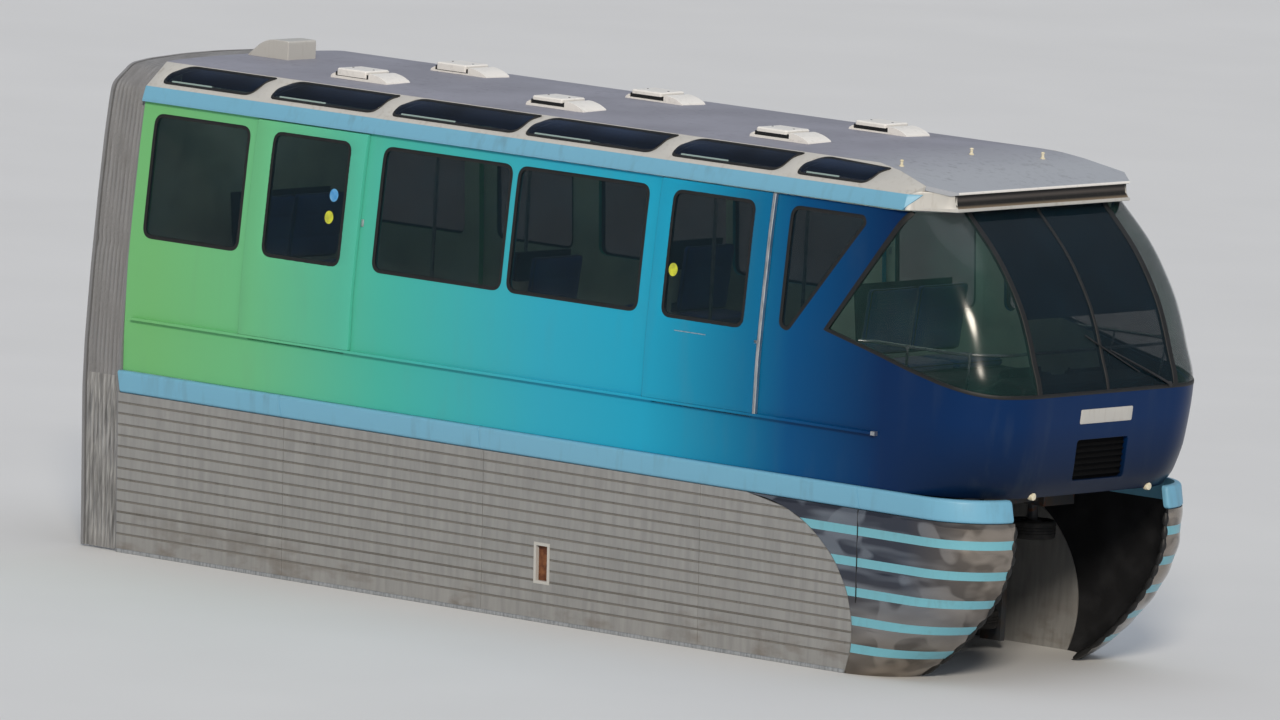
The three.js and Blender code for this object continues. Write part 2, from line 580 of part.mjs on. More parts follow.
const SIDE_BEAM = { y0: 500, y1: 900, z0: 20, z1: 150, x: 800 };
const AXLE = { shaft: 55, bore: 60, height: TYRE.radius, end: 560, horn: 500 };
const CROSS = { x: 690, half: 45 };
const SPRING = { x: 420, y: 800, radius: 125, foot: 140, top: UNDERFRAME - FIT };

function bogieFrame(x) {
  const solids = [];
  for (const side of [-1, 1]) {
    const ys = (a, b) => (side < 0 ? [-b, -a] : [a, b]);
    const { y0, y1, z0, z1, x: reach } = SIDE_BEAM;
    solids.push(box(x - reach, x + reach, ...ys(y0, y1), z0, z1));
    solids.push(box(x - 130, x + 130, ...ys(AXLE.horn, 590), z0, 590));
    solids.push(box(x - 110, x + 110, ...ys(875, 935), STABILISER.z - 200, z0 + 40));
    solids.push(box(x - 70, x + 70, ...ys(WHEEL_Y - 60, 900), STABILISER.z + 110, STABILISER.z + 160));
    solids.push(pin(x, side * WHEEL_Y, STABILISER, STABILISER.z, STABILISER.z + 130));
    for (const end of [-1, 1]) {
      solids.push(pin(x + end * GUIDE.x, side * WHEEL_Y, GUIDE, GUIDE.z, z0 + 20));
      const { x: reach, y, radius, foot, top } = SPRING;
      const spring = new THREE.CylinderGeometry(radius, radius, top - foot, 16).rotateX(Math.PI / 2);
      solids.push(solid(spring.translate(x + end * reach, side * y, (top + foot) / 2)));
    }
  }
  for (const end of [-1, 1]) {
    solids.push(box(x + end * CROSS.x - CROSS.half, x + end * CROSS.x + CROSS.half, -600, 600, 60, 240));
  }
  solids.push(box(x + CROSS.x - 120, x + CROSS.x + 90, -260, 260, 60, 480));
  const bore = new THREE.CylinderGeometry(AXLE.bore, AXLE.bore, 2 * AXLE.end + 4, 24);
  return join(solids).subtract(solid(bore.translate(x, 0, AXLE.height)));
}

function loadAxle() {
  const { radius, wide, gap } = TYRE;
  const half = [
    [300, gap / 2], [460, gap / 2], [radius, gap / 2 + 45], [radius, gap / 2 + wide - 45],
    [460, gap / 2 + wide], [300, gap / 2 + wide], [265, gap / 2 + wide - 90], [150, gap / 2 + wide - 90],
    [110, AXLE.horn - FIT], [AXLE.shaft, AXLE.horn - FIT], [AXLE.shaft, AXLE.end], [0, AXLE.end],
  ];
  const profile = [...half.map(([r, h]) => [r, -h]).reverse(), ...half];
  return turned(profile, LOAD_WHEEL_SIDES);
}

for (const [end, x] of Object.entries(BOGIES)) {
  add(`bogie_${end}`, bogieFrame(x), FINISH.frame);
  add(`load_axle_${end}`, solid(loadAxle().translate(x, 0, AXLE.height)), FINISH.rubber);
  for (const [name, side] of SIDES) {
    for (const [place, step] of [["fore", 1], ["aft", -1]]) {
      add(`guide_wheel_${end}_${place}_${name}`,
        solid(sideWheel(GUIDE, GUIDE.z).translate(x + step * GUIDE.x, side * WHEEL_Y, 0)), FINISH.rubber);
    }
    add(`stabiliser_wheel_${end}_${name}`,
      solid(sideWheel(STABILISER, STABILISER.z).translate(x, side * WHEEL_Y, 0)), FINISH.rubber);
  }
}

export default car;
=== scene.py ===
"""Straddle monorail end car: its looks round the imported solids. Metres, X forward, Y left, Z up."""
import math
from functools import lru_cache

import bmesh
import bpy
import numpy as np
from bpy.props import FloatProperty, FloatVectorProperty, IntProperty, PointerProperty
from mathutils import Matrix, Vector
from mathutils.bvhtree import BVHTree
from mathutils.geometry import delaunay_2d_cdt


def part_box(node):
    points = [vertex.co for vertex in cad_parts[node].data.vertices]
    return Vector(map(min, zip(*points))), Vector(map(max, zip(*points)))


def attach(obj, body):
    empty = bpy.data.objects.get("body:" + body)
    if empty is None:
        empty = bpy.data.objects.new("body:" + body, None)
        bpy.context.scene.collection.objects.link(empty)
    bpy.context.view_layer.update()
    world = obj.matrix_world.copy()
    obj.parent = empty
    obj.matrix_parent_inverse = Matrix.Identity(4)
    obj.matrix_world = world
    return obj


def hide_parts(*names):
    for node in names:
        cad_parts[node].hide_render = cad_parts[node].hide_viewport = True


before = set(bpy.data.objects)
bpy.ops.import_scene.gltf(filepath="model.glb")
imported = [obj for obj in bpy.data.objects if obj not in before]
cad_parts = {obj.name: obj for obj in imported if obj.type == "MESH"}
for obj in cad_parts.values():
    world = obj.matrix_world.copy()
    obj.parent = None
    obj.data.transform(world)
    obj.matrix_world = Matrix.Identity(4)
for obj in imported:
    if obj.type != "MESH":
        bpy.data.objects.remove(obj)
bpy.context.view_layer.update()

bl_info = {
    "name": "Monorail end car",
    "version": (1, 0, 0),
    "blender": (4, 5, 0),
    "location": "3D View > Sidebar > Monorail car",
    "description": "Builds the look of a straddle monorail end car round its packed solids",
    "category": "Object",
}

# Driving dimensions

SIDES = (("right", -1), ("left", 1))
ENDS = ("rear", "front")
WALL = 0.06
BAND_FOOT = 0.08
BAND_HEAD = 0.27
FLOOR = 0.7
SILL = 1.43
LINTEL = 2.478
PANEL_HEAD = 2.575
COWL_SEAM = 8.3
CANOPY_TIP = 8.775
DOORS = {end: tuple(corner.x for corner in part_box(f"door_{end}_right")) for end in ENDS}
DOOR_OUT = 0.04
DOOR_BACK = 0.006
DOORWAY_LAP = 0.07
TRACK_HEAD = 0.735
GLASS_IN = 0.004
GLASS = 0.01
AXLES = {end: sum(corner.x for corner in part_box(f"load_axle_{end}")) / 2 for end in ENDS}

# Outer form at each height: height, half width, front face and plan corner radius
BODY = (
    (0.27, 1.5, 9.42, 0.8), (0.42, 1.505, 9.505, 0.76), (0.64, 1.512, 9.53, 0.66),
    (1.12, 1.508, 9.57, 0.6), (1.43, 1.492, 9.48, 0.575), (1.75, 1.468, 9.36, 0.54),
    (2.05, 1.443, 9.18, 0.5), (2.25, 1.426, 9.02, 0.47), (2.56, 1.39, 8.7, 0.44),
)
BAND = ((0.08, 1.541, 9.48, 0.541), (0.27, 1.551, 9.44, 0.551))
SKIRT = (
    (-1.3, 1.47, 8.56, 0.47), (-1.12, 1.482, 8.83, 0.482), (-0.92, 1.494, 9.05, 0.494),
    (-0.68, 1.506, 9.26, 0.506), (-0.42, 1.518, 9.405, 0.518), (-0.2, 1.528, 9.47, 0.528),
    (0.08, 1.541, 9.48, 0.541),
)
SKIRT_FOOT = -1.298
SKIRT_WALL = 0.03
SKIRT_ARC = {"x": 7, "z": -0.95, "rx": 1.2, "rz": 1.03}
SKIRT_EDGE = 1
SKIRT_PLAIN = 0.15
SKIRT_SEAMS = (1.9, 4.15, 6.54)
SKIRT_SLOT = (4.75, 4.88, -0.95, -0.645)
SKIRT_GROOVE = ((0.021, 0), (0.017, 1), (0.006, 1), (0.002, 0))
STRIPES = (-0.1, -0.36, -0.61, -0.85, -1.08)

# Lower edge of the windscreen seen from the side: place along the car and height
SCREEN_SILL = ((7.735, 1.51), (8.26, 1.385), (8.67, 1.28), (9.09, 1.19), (9.42, 1.13), (9.57, 1.12))
SCREEN_REAR = ((7.735, 1.51), (8.47, 2.56))
SCREEN_CORNER = 0.885

REAR_WINDOW = (0.149, 1.231)
MIDDLE_WINDOWS = ((2.757, 4.187), (4.261, 5.698))
DOOR_WINDOWS = {"rear": (1.541, 2.412), "front": (6.004, 6.887)}
WEDGE = ((7.25, 1.49), (7.34, 1.455), (8.05, 2.42), (8.02, 2.478), (7.25, 2.478))

# Roof: half section from the cantrail to the crown, as distance from the centre and height
ROOF = ((0, 2.93), (0.45, 2.927), (0.9, 2.916), (1.14, 2.903), (1.385, 2.706))
SHOULDER_FOOT = (1.385, 2.706)
SHOULDER_HEAD = (1.14, 2.903)
SHOULDER_RUN = math.dist(SHOULDER_FOOT, SHOULDER_HEAD)
ROOF_CAP = ((7.55, 2.96), (8.2, 2.866), (8.775, 2.735))
SKYLIGHTS = ((0.148, 1.275), (1.378, 2.672), (2.755, 4.255), (4.245, 5.765), (5.858, 7.136), (7.222, 8.092))
VENTS = (1.56, 3.76, 6.23)

# Forms in the plane


def dense(outline, step, closed=True):
    """Outline with its long edges divided so that no stretch is over step along u or v."""
    points = []
    count = len(outline)
    for i in range(count if closed else count - 1):
        (u0, v0), (u1, v1) = outline[i], outline[(i + 1) % count]
        parts = max(1, math.ceil(max(abs(u1 - u0) / step[0], abs(v1 - v0) / step[1]) - 1e-6))
        points += [(u0 + (u1 - u0) * k / parts, v0 + (v1 - v0) * k / parts) for k in range(parts)]
    if not closed:
        points.append(tuple(outline[-1]))
    return points


def rounded(outline, radius, steps=6):
    """Outline with each corner rounded, by its own radius where the corner gives one."""
    points = []
    for i, corner in enumerate(outline):
        here = Vector(corner[:2])
        before = Vector(outline[i - 1][:2]) - here
        after = Vector(outline[(i + 1) % len(outline)][:2]) - here
        own = corner[2] if len(corner) > 2 else radius
        reach = min(own, before.length * 0.45, after.length * 0.45)
        start = here + before.normalized() * reach
        end = here + after.normalized() * reach
        for k in range(steps + 1):
            t = k / steps
            spot = start * (1 - t) ** 2 + here * 2 * t * (1 - t) + end * t * t
            points.append((spot.x, spot.y))
    return points


def rectangle(u0, u1, v0, v1):
    return [(u0, v0), (u1, v0), (u1, v1), (u0, v1)]


def spread(start, end, parts):
    """Evenly spaced values from start to end."""
    return [start + (end - start) * k / parts for k in range(parts + 1)]


def line(start, end, parts):
    """Evenly spaced points in the plane from start to end."""
    return list(zip(spread(start[0], end[0], parts), spread(start[1], end[1], parts)))


def area(outline):
    return sum(a[0] * b[1] - b[0] * a[1] for a, b in zip(outline, outline[1:] + outline[:1])) / 2


def wound(outline, turn):
    """Outline that runs anticlockwise where turn is 1 and clockwise where it is -1."""
    return list(outline) if area(list(outline)) * turn > 0 else list(outline)[::-1]


def lefts(outline, closed=True):
    """Mitred normals of an outline, to the left of its direction."""
    normals = []
    count = len(outline)
    for i in range(count):
        before = Vector(outline[i]) - Vector(outline[i - 1 if closed or i else 0])
        after = Vector(outline[(i + 1) % count if closed else min(i + 1, count - 1)]) - Vector(outline[i])
        sides = [Vector((-d.y, d.x)).normalized() for d in (before, after) if d.length > 1e-9]
        middle = sum(sides, Vector((0, 0))) / len(sides)
        normals.append(middle / max(middle.length_squared, 0.3))
    return normals


def offset(outline, amount, closed=True):
    """Outline moved to the left of its direction."""
    return [(p[0] + n.x * amount, p[1] + n.y * amount) for p, n in zip(outline, lefts(outline, closed))]


def inside(points, loops):
    """Which points lie within the loops, by the even-odd rule."""
    hits = np.zeros(len(points), int)
    for loop in loops:
        a = np.array(loop)
        b = np.roll(a, -1, axis=0)
        y = points[:, 1:2]
        crosses = (a[:, 1] > y) != (b[:, 1] > y)
        rise = np.where(np.abs(b[:, 1] - a[:, 1]) < 1e-12, 1e-12, b[:, 1] - a[:, 1])
        reach = a[:, 0] + (y - a[:, 1]) / rise * (b[:, 0] - a[:, 0])
        hits += (crosses & (points[:, 0:1] < reach)).sum(1)
    return hits % 2 == 1


# Forms of the body


@lru_cache(maxsize=None)
def smooth(rows, at):
    """Columns of a table at a height, on a curve through its rows that doesn't overshoot."""
    heights = [row[0] for row in rows]
    at = min(max(at, heights[0]), heights[-1])
    k = max(i for i in range(len(rows) - 1) if heights[i] <= at)
    gap = heights[k + 1] - heights[k]
    t = (at - heights[k]) / gap
    values = []
    for column in range(1, len(rows[0])):
        rises = [(rows[i + 1][column] - rows[i][column]) / (heights[i + 1] - heights[i])
                 for i in range(len(rows) - 1)]

        def slope(i):
            if i == 0 or i == len(rows) - 1:
                return rises[min(i, len(rises) - 1)]
            before, after = rises[i - 1], rises[i]
            return 2 * before * after / (before + after) if before * after > 0 else 0

        low, high = rows[k][column], rows[k + 1][column]
        values.append(low * (1 + 2 * t) * (1 - t) ** 2 + high * t * t * (3 - 2 * t)
                      + gap * (slope(k) * t * (1 - t) ** 2 + slope(k + 1) * t * t * (t - 1)))
    return tuple(values)


def beside(x, z, depth, side, levels=BODY):
    """Point of a side of the form, given as it shows from the side, at a depth below the skin."""
    half, front, corner = smooth(levels, z)
    past = x - (front - corner)
    y = half - depth
    if past > 0:
        y = half - corner + math.sqrt(max((corner - depth) ** 2 - past * past, 0))
    return (x, side * y, z)


def around(s, z, depth, levels=BODY):
    """Point of the form at a distance s round it from its front centre, at a depth below the skin."""
    half, front, corner = smooth(levels, z)
    side = -1 if s < 0 else 1
    s = abs(s)
    flat = half - corner
    if s <= flat:
        return (front - depth, side * s, z)
    turn = (s - flat) / corner
    if turn < math.pi / 2:
        reach = corner - depth
        return (front - corner + reach * math.cos(turn), side * (flat + reach * math.sin(turn)), z)
    return (front - corner - (s - flat - corner * math.pi / 2), side * (half - depth), z)


def girth(x, z, levels=BODY):
    """Distance round the form from its front centre to the place x along it."""
    half, front, corner = smooth(levels, z)
    past = x - (front - corner)
    if past > 0:
        return half - corner + corner * math.acos(min(past / corner, 1))
    return half - corner + corner * math.pi / 2 - past


def on_side(side, depth=0, levels=BODY):
    return lambda x, z, below: beside(x, z, depth + below, side, levels)


def on_nose(depth=0, levels=BODY):
    return lambda s, z, below: around(s, z, depth + below, levels)


def on_shoulder(side, depth=0):
    """Places on the roof's shoulder, by the place along the car and the way up the slope."""
    foot, head = SHOULDER_FOOT, SHOULDER_HEAD
    lean = (head[0] - foot[0]) / SHOULDER_RUN
    rise = (head[1] - foot[1]) / SHOULDER_RUN

    def place(x, v, below):
        down = depth + below
        return (x, side * (foot[0] + v * lean - rise * down), foot[1] + v * rise + lean * down)

    return place


def sill_height(x):
    return smooth(SCREEN_SILL, x)[0]


def roof_cap(x):
    """Height of the line to which the roof falls over the windscreen."""
    (x0, z0), (x1, z1), (x2, z2) = ROOF_CAP
    if x < x1:
        return z0 + (z1 - z0) * (x - x0) / (x1 - x0)
    return z1 + (z2 - z1) * (x - x1) / (x2 - x1)


def window(x0, x1):
    """Outline of a side window."""
    return rounded(rectangle(x0, x1, SILL, LINTEL), bpy.context.scene.car_sizes.window_radius)


def plain(x, y, z):
    return (x, y, z)


def along_x(y, z, x):
    """Place for an outline in y and z that is given a thickness along the car."""
    return (x, y, z)


def along_y(x, z, y):
    """Place for an outline in x and z that is given a thickness across the car."""
    return (x, y, z)


# A sheet's inner points, in steps: just under one apart, so none lines up with the edge's, and clear of it
LATTICE = 0.999
LATTICE_CLEAR = 0.42


class Piece:
    """Points and faces of one piece, collected before its mesh is made."""

    def __init__(self):
        self.points = []
        self.faces = []
        self.inks = []

    def add(self, points, faces, ink=0):
        start = len(self.points)
        self.points += [tuple(point) for point in points]
        self.faces += [[start + i for i in face] for face in faces]
        self.inks += list(ink) if isinstance(ink, (list, tuple)) else [ink] * len(faces)

    def rings(self, rings, ink=0, closed=False, caps=True):
        """Closed rings of equally many points, each joined to the next."""
        n = len(rings[0])
        m = len(rings)
        faces = [[k * n + i, k * n + (i + 1) % n, (k + 1) % m * n + (i + 1) % n, (k + 1) % m * n + i]
                 for k in range(m if closed else m - 1) for i in range(n)]
        if caps and not closed:
            faces += [list(range(n))[::-1], [(m - 1) * n + i for i in range(n)]]
        self.add([point for ring in rings for point in ring], faces, ink)

    def shell(self, us, vs, place, thick, skip=None, inks=(0, 0, 0)):
        """Plate on a grid: outer face, inner face and rims, without the cells that skip names."""
        n = len(us)
        m = len(vs)
        points = [place(u, v, below) for below in (0, thick) for v in vs for u in us]
        kept = {(i, j) for i in range(n - 1) for j in range(m - 1) if not (skip and skip(i, j))}
        faces = []
        marks = []
        for i, j in sorted(kept):
            a, b, c, d = j * n + i, j * n + i + 1, (j + 1) * n + i + 1, (j + 1) * n + i
            faces += [[a, b, c, d], [d + n * m, c + n * m, b + n * m, a + n * m]]
            marks += [inks[0], inks[1]]
            for (p, q), beyond in (((a, b), (i, j - 1)), ((b, c), (i + 1, j)),
                                   ((c, d), (i, j + 1)), ((d, a), (i - 1, j))):
                if beyond not in kept:
                    faces.append([q, p, p + n * m, q + n * m])
                    marks.append(inks[2])
        self.add(points, faces, marks)

    def sheet(self, outline, holes, place, thick, step, soft=0, inks=(0, 0, 0)):
        """Plate cut to an outline with holes, its outer edges softened, laid on a surface."""
        loops = [wound(dense(outline, step), 1)] + [wound(dense(hole, step), -1) for hole in holes]
        scale = np.array([1 / step[0], 1 / step[1]])
        cut = [np.array(offset(loop, soft)) * scale for loop in loops]
        edge = np.concatenate(cut)
        low = np.floor(edge.min(0))
        high = np.ceil(edge.max(0))
        lattice = np.array([(i, j) for i in np.arange(low[0] + 0.5, high[0], LATTICE)
                            for j in np.arange(low[1] + 0.5, high[1], LATTICE)])
        lattice = lattice[inside(lattice, cut)]
        clear = [np.abs(edge - spot).max(1).min() > LATTICE_CLEAR for spot in lattice]
        lattice = lattice[np.array(clear, bool)]
        flat = np.concatenate([edge, lattice])
        ties = []
        start = 0
        for loop in loops:
            ties += [(start + i, start + (i + 1) % len(loop)) for i in range(len(loop))]
            start += len(loop)
        made = delaunay_2d_cdt([Vector(p) for p in flat], ties, [], 0, 1e-7)
        source = [origin[0] if origin else -1 for origin in made[3]]
        triangles = [[source[i] for i in face] for face in made[2]]
        triangles = [t for t in triangles if -1 not in t and len(set(t)) == 3]
        centres = np.array([flat[t].mean(0) for t in triangles])
        triangles = [t for t, keep in zip(triangles, inside(centres, cut)) if keep]
        back = [p for loop in loops for p in loop] + list(lattice / scale)
        count = len(flat)
        points = [place(u, v, 0) for u, v in flat / scale] + [place(u, v, thick) for u, v in back]
        faces = [list(t) for t in triangles] + [[i + count for i in t[::-1]] for t in triangles]
        marks = [inks[0]] * len(triangles) + [inks[1]] * len(triangles)
        # Rims: softened by an arc of two steps, then straight back
        mids = []
        if soft:
            for share, below in ((0.29, 0.29), (0, 1)):
                mids.append(len(points))
                ring = [q for loop in loops for q in offset(loop, soft * share)]
                points += [place(u, v, soft * below) for u, v in ring]
        start = 0
        for loop in loops:
            for i in range(len(loop)):
                a = start + i
                b = start + (i + 1) % len(loop)
                chain = [(a, b)] + [(base + a, base + b) for base in mids] + [(a + count, b + count)]
                for (p, q), (r, s) in zip(chain, chain[1:]):
                    faces.append([q, p, r, s])
                    marks.append(inks[2])
            start += len(loop)
        self.add(points, faces, marks)

    def bead(self, outline, place, profile, ink=0, closed=True):
        """Section swept along an outline: how far to its left, and the depth below the surface."""
        rings = [[place(p[0] + n.x * a, p[1] + n.y * a, below) for a, below in profile]
                 for p, n in zip(outline, lefts(outline, closed))]
        self.rings(rings, ink, closed)

    def strip(self, start, end, step, place, profile, ink=0):
        """Section swept along a straight line between two places."""
        self.bead(dense([start, end], (step, step), closed=False), place, profile, ink, closed=False)

    def lip(self, outline, place, proud, deep):
        """Rubber lip round a pane."""
        self.bead(dense(wound(outline, 1), (0.2, 0.05)), place, gasket_section(proud, deep))

    def glaze(self, outline, place, thick, step, soft=0):
        """Pane a little smaller than its opening."""
        self.sheet(offset(wound(outline, 1), 0.002), [], place, thick, step, soft)

    def turned(self, profile, centre, axis, sides=32, ink=0, closed=False):
        """Profile of radius and height turned round an axis through a point."""
        up = Vector(axis).normalized()
        across = up.orthogonal().normalized()
        along = up.cross(across)
        rings = []
        for radius, height in profile:
            ring = []
            for k in range(sides):
                angle = 2 * math.pi * k / sides
                ring.append(Vector(centre) + up * height
                            + (across * math.cos(angle) + along * math.sin(angle)) * radius)
            rings.append(ring)
        self.rings(rings, ink, closed)

    def bolt(self, centre, axis, radius, height, top, sides, ink=0):
        """Head with upright sides and a slightly crowned top."""
        self.turned([(0, 0), (radius, 0), (radius, height), (0, top)], centre, axis, sides, ink)

    def tube(self, path, radius, sides=10, ink=0, closed=False):
        """Round bar along a path, of one radius or of one for each point."""
        path = [Vector(p) for p in path]
        count = len(path)
        radii = list(radius) if isinstance(radius, (list, tuple)) else [radius] * count
        across = None
        rings = []
        for i, point in enumerate(path):
            ahead = path[(i + 1) % count] if closed or i + 1 < count else point
            behind = path[i - 1] if closed or i else point
            way = (ahead - behind).normalized()
            across = way.orthogonal() if across is None else across - way * across.dot(way)
            across.normalize()
            other = way.cross(across)
            rings.append([point + (across * math.cos(2 * math.pi * k / sides)
                                   + other * math.sin(2 * math.pi * k / sides)) * radii[i]
                          for k in range(sides)])
        self.rings(rings, ink, closed)

    def block(self, low, high, ink=0):
        (x0, y0, z0), (x1, y1, z1) = low, high
        ring = [(x0, y0), (x1, y0), (x1, y1), (x0, y1)]
        self.rings([[(x, y, z) for x, y in ring] for z in (z0, z1)], ink)

    def prism(self, outline, place, near, far, ink=0):
        """Outline in u and v given a thickness: place(u, v, w) gives a point."""
        self.rings([[place(u, v, w) for u, v in outline] for w in (near, far)], ink)

    def make(self, name, finishes, body="root", replaces=(), bevel=0, sharp=32, steps=2):
        """Blender object of the piece, which rides on a body and wears its finishes."""
        mesh = bpy.data.meshes.new(name)
        mesh.from_pydata(self.points, [], self.faces)
        mesh.polygons.foreach_set("material_index", self.inks)
        clean(mesh)
        return finished(mesh, name, finishes, body, replaces, bevel, sharp, steps)


def clean(mesh, flat=False):
    """Joins doubled points, drops slivers or, where flat, edges within flat faces, and turns faces out."""
    work = bmesh.new()
    work.from_mesh(mesh)
    bmesh.ops.remove_doubles(work, verts=work.verts, dist=1e-5)
    if flat:
        bmesh.ops.dissolve_limit(work, angle_limit=math.radians(1), verts=work.verts, edges=work.edges)
    else:
        bmesh.ops.dissolve_degenerate(work, edges=work.edges, dist=1e-6)
    bmesh.ops.recalc_face_normals(work, faces=work.faces)
    work.to_mesh(mesh)
    work.free()


def placed(name, data):
    """Object with its data, linked to the scene."""
    made = bpy.data.objects.new(name, data)
    bpy.context.scene.collection.objects.link(made)
    return made


def finished(mesh, name, finishes, body="root", replaces=(), bevel=0, sharp=32, steps=2):
    """Object of a mesh, shaded smooth up to an angle, with its materials, body and slot."""
    mesh.shade_smooth()
    mesh.set_sharp_from_angle(angle=math.radians(sharp))
    for key in finishes if isinstance(finishes, (list, tuple)) else [finishes]:
        mesh.materials.append(material(key))
    made = placed(name, mesh)
    if bevel:
        edges = made.modifiers.new("rounded edges", "BEVEL")
        edges.width = bevel
        edges.segments = steps
        edges.limit_method = "ANGLE"
        edges.angle_limit = math.radians(sharp)
        edges.use_clamp_overlap = True
    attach(made, body)
    if replaces:
        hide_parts(*replaces)
    return made


def softened(node, name, finishes, body="root", bevel=0.006, sharp=28):
    """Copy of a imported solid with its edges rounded, which stands for it."""
    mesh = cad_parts[node].data.copy()
    mesh.materials.clear()
    mesh.name = name
    clean(mesh, flat=True)
    if "custom_normal" in mesh.attributes:
        mesh.attributes.remove(mesh.attributes["custom_normal"])
    return finished(mesh, name, finishes, body, [node], bevel, sharp)


# Colours and materials


def linear(code):
    """Linear colour of an sRGB hex value."""
    parts = [int(code[i:i + 2], 16) / 255 for i in (1, 3, 5)]
    return tuple(p / 12.92 if p <= 0.04045 else ((p + 0.055) / 1.055) ** 2.4 for p in parts) + (1,)


def colour_property(name, code, description):
    return FloatVectorProperty(name=name, description=description, subtype="COLOR", size=4,
                               min=0, max=1, default=linear(code))


class CarSizes(bpy.types.PropertyGroup):
    window_radius: FloatProperty(
        name="Window corner radius", description="Radius of the side windows' corners",
        default=0.095, unit="LENGTH")
    gasket: FloatProperty(
        name="Gasket width", description="Width of the rubber that shows round each pane",
        default=0.03, unit="LENGTH")
    pleats: IntProperty(
        name="Bellows pleats", description="Folds of the bellows between the car bodies", default=8, min=3)
    grooves: IntProperty(
        name="Skirt grooves", description="Grooves along each side skirt", default=13, min=1)
    groove_depth: FloatProperty(
        name="Groove depth", description="Depth of the skirt's grooves", default=0.008, unit="LENGTH")


class CarColours(bpy.types.PropertyGroup):
    film_0: colour_property("Film, rear end", "#73BB79", "Printed film at the rear end")
    film_1: colour_property("Film, rear door", "#6CBE88", "Printed film at the rear door")
    film_2: colour_property("Film, rear windows", "#4AB8A8", "Printed film under the rear middle window")
    film_3: colour_property("Film, middle", "#33AAC6", "Printed film in the middle")
    film_4: colour_property("Film, front door", "#22A4C9", "Printed film before the front door")
    film_5: colour_property("Film, behind the screen", "#034E83", "Printed film behind the front door")
    film_6: colour_property("Film, nose", "#032957", "Printed film on the nose")
    band: colour_property("Band", "#74AFCC", "Light blue edge bands")
    stripe: colour_property("Stripe", "#72B4C4", "Light blue stripes of the nose skirt")
    roof: colour_property("Roof", "#8A8B97", "Roof skin")
    cream: colour_property("Cream", "#C0BFBB", "Roof shoulders and canopy corners")
    skirt: colour_property("Skirt", "#9D9D9C", "Side skirts")
    # Its dark slate is a painted reflection of dark surroundings in the polished bands
    polished: colour_property("Polished skirt", "#484C57", "Polished bands of the nose skirt")
    bellows: colour_property("Bellows", "#7E7F82", "Bellows fabric")
    glass: colour_property("Glass", "#091B23", "Tint of the panes")
    seat: colour_property("Seats", "#2A4696", "Seat cloth")
    lining: colour_property("Lining", "#CCDACD", "Inside panels")


def colours():
    return bpy.context.scene.car_colours


FINISHES = {}


def finish(title, **constants):
    """Keeps the function that draws a material, with its title and its shader's constant values."""
    values = {key.replace("_", " "): value for key, value in constants.items()}

    def keep(draw):
        FINISHES[draw.__name__] = (title, values, draw)
        return draw

    return keep


def material(key):
    title, values, draw = FINISHES[key]
    made = bpy.data.materials.get(title)
    if made is None:
        made = bpy.data.materials.new(title)
        made.use_nodes = True
        draw(Look(made.node_tree, values))
    return made


def shaded(colour, factor):
    return tuple(min(channel * factor, 1) for channel in colour[:3]) + (1,)


class Look:
    """Nodes of one material, round a shader with constant values and the object's own coordinates."""

    def __init__(self, tree, values):
        tree.nodes.clear()
        self.tree = tree
        self.shader = self.add("BsdfPrincipled", values)
        self.add("OutputMaterial", {"Surface": self.shader.outputs["BSDF"]})
        self.where = self.add("TexCoord").outputs["Object"]

    def add(self, kind, inputs=None, stops=(), **settings):
        """New node with its settings, its inputs linked to sockets or set to values or hex colours."""
        node = self.tree.nodes.new("ShaderNode" + kind)
        for name, value in settings.items():
            setattr(node, name, value)
        for key, value in (inputs or {}).items():
            if isinstance(value, bpy.types.NodeSocket):
                self.tree.links.new(value, node.inputs[key])
            else:
                node.inputs[key].default_value = linear(value) if isinstance(value, str) else value
        for i, (place, colour) in enumerate(stops):
            stop = node.color_ramp.elements[i] if i < 2 else node.color_ramp.elements.new(place)
            stop.position = place
            stop.color = linear(colour) if isinstance(colour, str) else colour
        return node

    def give(self, name, socket):
        """Drives one of the shader's inputs."""
        self.tree.links.new(socket, self.shader.inputs[name])

    def patches(self, size, low=0.35, high=0.65, detail=4, stretch=(1, 1, 1)):
        """Soft patches of a real size in metres, from 0 to 1, longer along an axis with a small stretch."""
        scaled = self.add("Mapping", {"Vector": self.where, "Scale": [k / size for k in stretch]})
        noise = self.add("TexNoise", {"Vector": scaled.outputs[0], "Scale": 1, "Detail": detail})
        return self.add("MapRange", {"Value": noise.outputs[0], "From Min": low, "From Max": high}).outputs[0]

    def rise_along(self, axis, start, end, most=1):
        """Share that rises from 0 to its most between two places on an axis, in metres."""
        place = self.add("SeparateXYZ", {0: self.where}).outputs[axis]
        return self.add("MapRange", {
            "Value": place, "From Min": start, "From Max": end, "To Max": most}).outputs[0]

    def mottled(self, low_tone, high_tone, *pattern):
        """Base colour in soft patches between two tones, and the patches' share, which it gives back."""
        share = self.patches(*pattern)
        toned = self.add("Mix", {0: share, 6: low_tone, 7: high_tone}, data_type="RGBA")
        self.give("Base Color", toned.outputs[2])
        return share

    def coat(self, base, dust, amount, patch, streak=6):
        """Base colour with broad tone changes, and dust that rain has drawn down the panel."""
        broad = self.patches(patch)
        drawn = self.patches(patch * 0.12, 0.52, 0.78, stretch=(1, 1, 1 / streak))
        both = self.add("Math", {0: broad, 1: drawn}, operation="MULTIPLY").outputs[0]
        share = self.add("Math", {0: both, 1: amount}, operation="MULTIPLY").outputs[0]
        mixed = self.add("Mix", {0: share, 6: base, 7: dust}, data_type="RGBA")
        self.give("Base Color", mixed.outputs[2])

    def bumped(self, height, distance):
        """Fine relief of a height pattern, in metres."""
        self.give("Normal", self.add("Bump", {"Height": height, "Distance": distance}).outputs[0])

    def relief(self, distance, *pattern):
        """Fine relief in soft patches."""
        self.bumped(self.patches(*pattern), distance)


